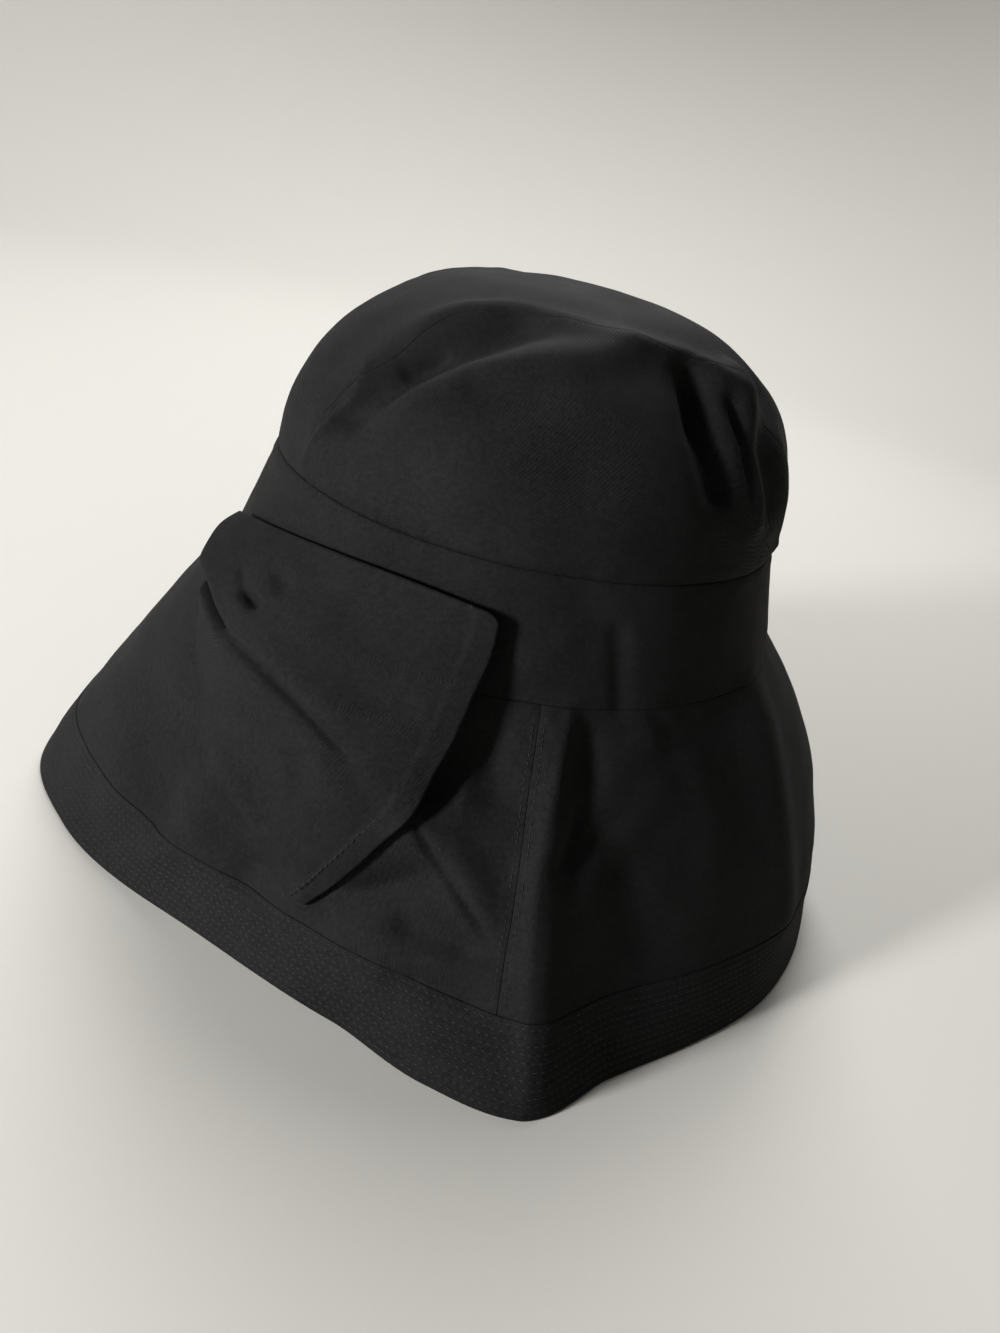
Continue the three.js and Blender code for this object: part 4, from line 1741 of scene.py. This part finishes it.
@dataclass(frozen=True)
class Studio:
    """A pale sweep of floor under soft lights, with lengths in metres."""

    inner: float = 0.5
    flat: float = 1.1
    bend: float = 0.9
    top: float = 1.9
    bend_steps: int = 12
    columns: int = 96
    floor_colour: tuple[float, float, float] = (0.43, 0.418, 0.39)
    floor_roughness: float = 0.8
    aim_height: float = 0.1
    room_colour: tuple[float, float, float] = (0.9, 0.92, 1.0)
    room_strength: float = 0.02

    def floor(self) -> bpy.types.Object:
        """Makes a round floor that curves up into a pale wall.

        Returns:
            The floor object.
        """
        turns = np.linspace(0, np.pi / 2, self.bend_steps + 1)
        outline = [(0.0, 0.0), (self.inner, 0.0), (self.flat, 0.0)]
        outline += [(self.flat + self.bend * np.sin(t), self.bend * (1 - np.cos(t))) for t in turns[1:]]
        outline.append((self.flat + self.bend, self.top))
        count = self.columns
        points = []
        for radius, height in outline:
            for index in range(count):
                turn = 2 * np.pi * index / count
                points.append((radius * np.cos(turn), radius * np.sin(turn), height))
        faces = []
        for row in range(len(outline) - 1):
            for index in range(count):
                after = (index + 1) % count
                low = row * count
                faces.append((low + index, low + count + index, low + count + after, low + after))
        mesh = bpy.data.meshes.new("sweep")
        mesh.from_pydata(points, [], faces)
        mesh.shade_smooth()
        made = bpy.data.materials.new("pale_floor")
        made.use_nodes = True
        shader = made.node_tree.nodes["Principled BSDF"]
        shader.inputs["Base Color"].default_value = (*self.floor_colour, 1)
        shader.inputs["Roughness"].default_value = self.floor_roughness
        mesh.materials.append(made)
        floor = bpy.data.objects.new("sweep", mesh)
        bpy.context.scene.collection.objects.link(floor)
        return floor

    def light(self, lamp: Lamp) -> bpy.types.Object:
        """Makes a light that faces the hat.

        Args:
            lamp: Its place, size and power.

        Returns:
            The light object.
        """
        turn, rise = np.radians((lamp.azimuth, lamp.elevation))
        back = np.array([np.sin(turn) * np.cos(rise), -np.cos(turn) * np.cos(rise), np.sin(rise)])
        side = np.array([np.cos(turn), np.sin(turn), 0.0])
        data = bpy.data.lights.new(lamp.name, "AREA")
        data.size = lamp.size
        data.energy = lamp.power
        made = bpy.data.objects.new(lamp.name, data)
        matrix = Matrix(np.stack([side, np.cross(back, side), back], 1).tolist()).to_4x4()
        matrix.translation = (back * lamp.distance + np.array([0, 0, self.aim_height])).tolist()
        made.matrix_world = matrix
        bpy.context.scene.collection.objects.link(made)
        return made

    def set_up(self) -> None:
        """Lights the hat from the front left and above, with little from elsewhere."""
        self.floor()
        for lamp in LAMPS:
            self.light(lamp)
        world = bpy.data.worlds.new("room")
        world.use_nodes = True
        ground = world.node_tree.nodes["Background"]
        ground.inputs["Color"].default_value = (*self.room_colour, 1)
        ground.inputs["Strength"].default_value = self.room_strength
        bpy.context.scene.world = world
        bpy.context.scene.view_settings.view_transform = "Standard"


def settle(piece: bpy.types.Object, node: str | None, finish: bpy.types.Material) -> None:
    """Gives a piece its finish and its body, and hides the node that it stands for.

    Args:
        piece: The finished piece.
        node: The node that it replaces, or None for an added detail.
        finish: The material.
    """
    piece.data.materials.clear()
    piece.data.materials.append(finish)
    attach(piece, "root")
    if node is not None:
        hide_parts(node)
    LOG.info("%s: %d faces", piece.name, len(piece.data.polygons))


def main() -> None:
    """Builds the hat piece by piece, then the studio and the camera."""
    logging.basicConfig(level=logging.INFO, format="%(name)s: %(message)s")
    surface = ClothSurface(HatSizes())
    slots = ("crown_cloth", "band_cloth", "brim_cloth", "hem_cloth", "pocket_cloth")
    cloths = {slot: ClothFinish(slot).material() for slot in slots}
    thread = ThreadFinish().material()

    left = surface.sizes.left_seam
    right = surface.sizes.right_seam
    crown = Crown(surface)
    brim = Brim(surface)
    hem = HemBand(surface)
    pocket = Pocket(surface)
    for piece, node, slot in (
        (crown.strip(), "crown_centre_strip", "crown_cloth"),
        (crown.side("crown_left_cloth", Side.LEFT), "crown_side_left", "crown_cloth"),
        (crown.side("crown_right_cloth", Side.RIGHT), "crown_side_right", "crown_cloth"),
        (SideBand(surface).make(), "side_band", "band_cloth"),
        (brim.half("brim_front_cloth", right - 360, left), "brim_front", "brim_cloth"),
        (brim.half("brim_back_cloth", left, right), "brim_back", "brim_cloth"),
        (hem.make(), "hem_band", "hem_cloth"),
        (pocket.make(), "pocket_patch", "pocket_cloth"),
    ):
        settle(piece, node, cloths[slot])
    for name, paths, slot, seed in (
        ("hem_stitches", hem.stitch_paths(), "hem_cloth", 5),
        ("brim_seam_stitches", brim.stitch_paths(), "brim_cloth", 6),
        ("pocket_stitches", pocket.stitch_paths(), "pocket_cloth", 7),
    ):
        placed = [(path + surface.axis) * MM for path in paths]
        settle(StitchLine(name, thread, seed).lay(placed), None, thread)

    Studio().set_up()
    View().camera(surface.axis)


if __name__ == "__main__":
    main()
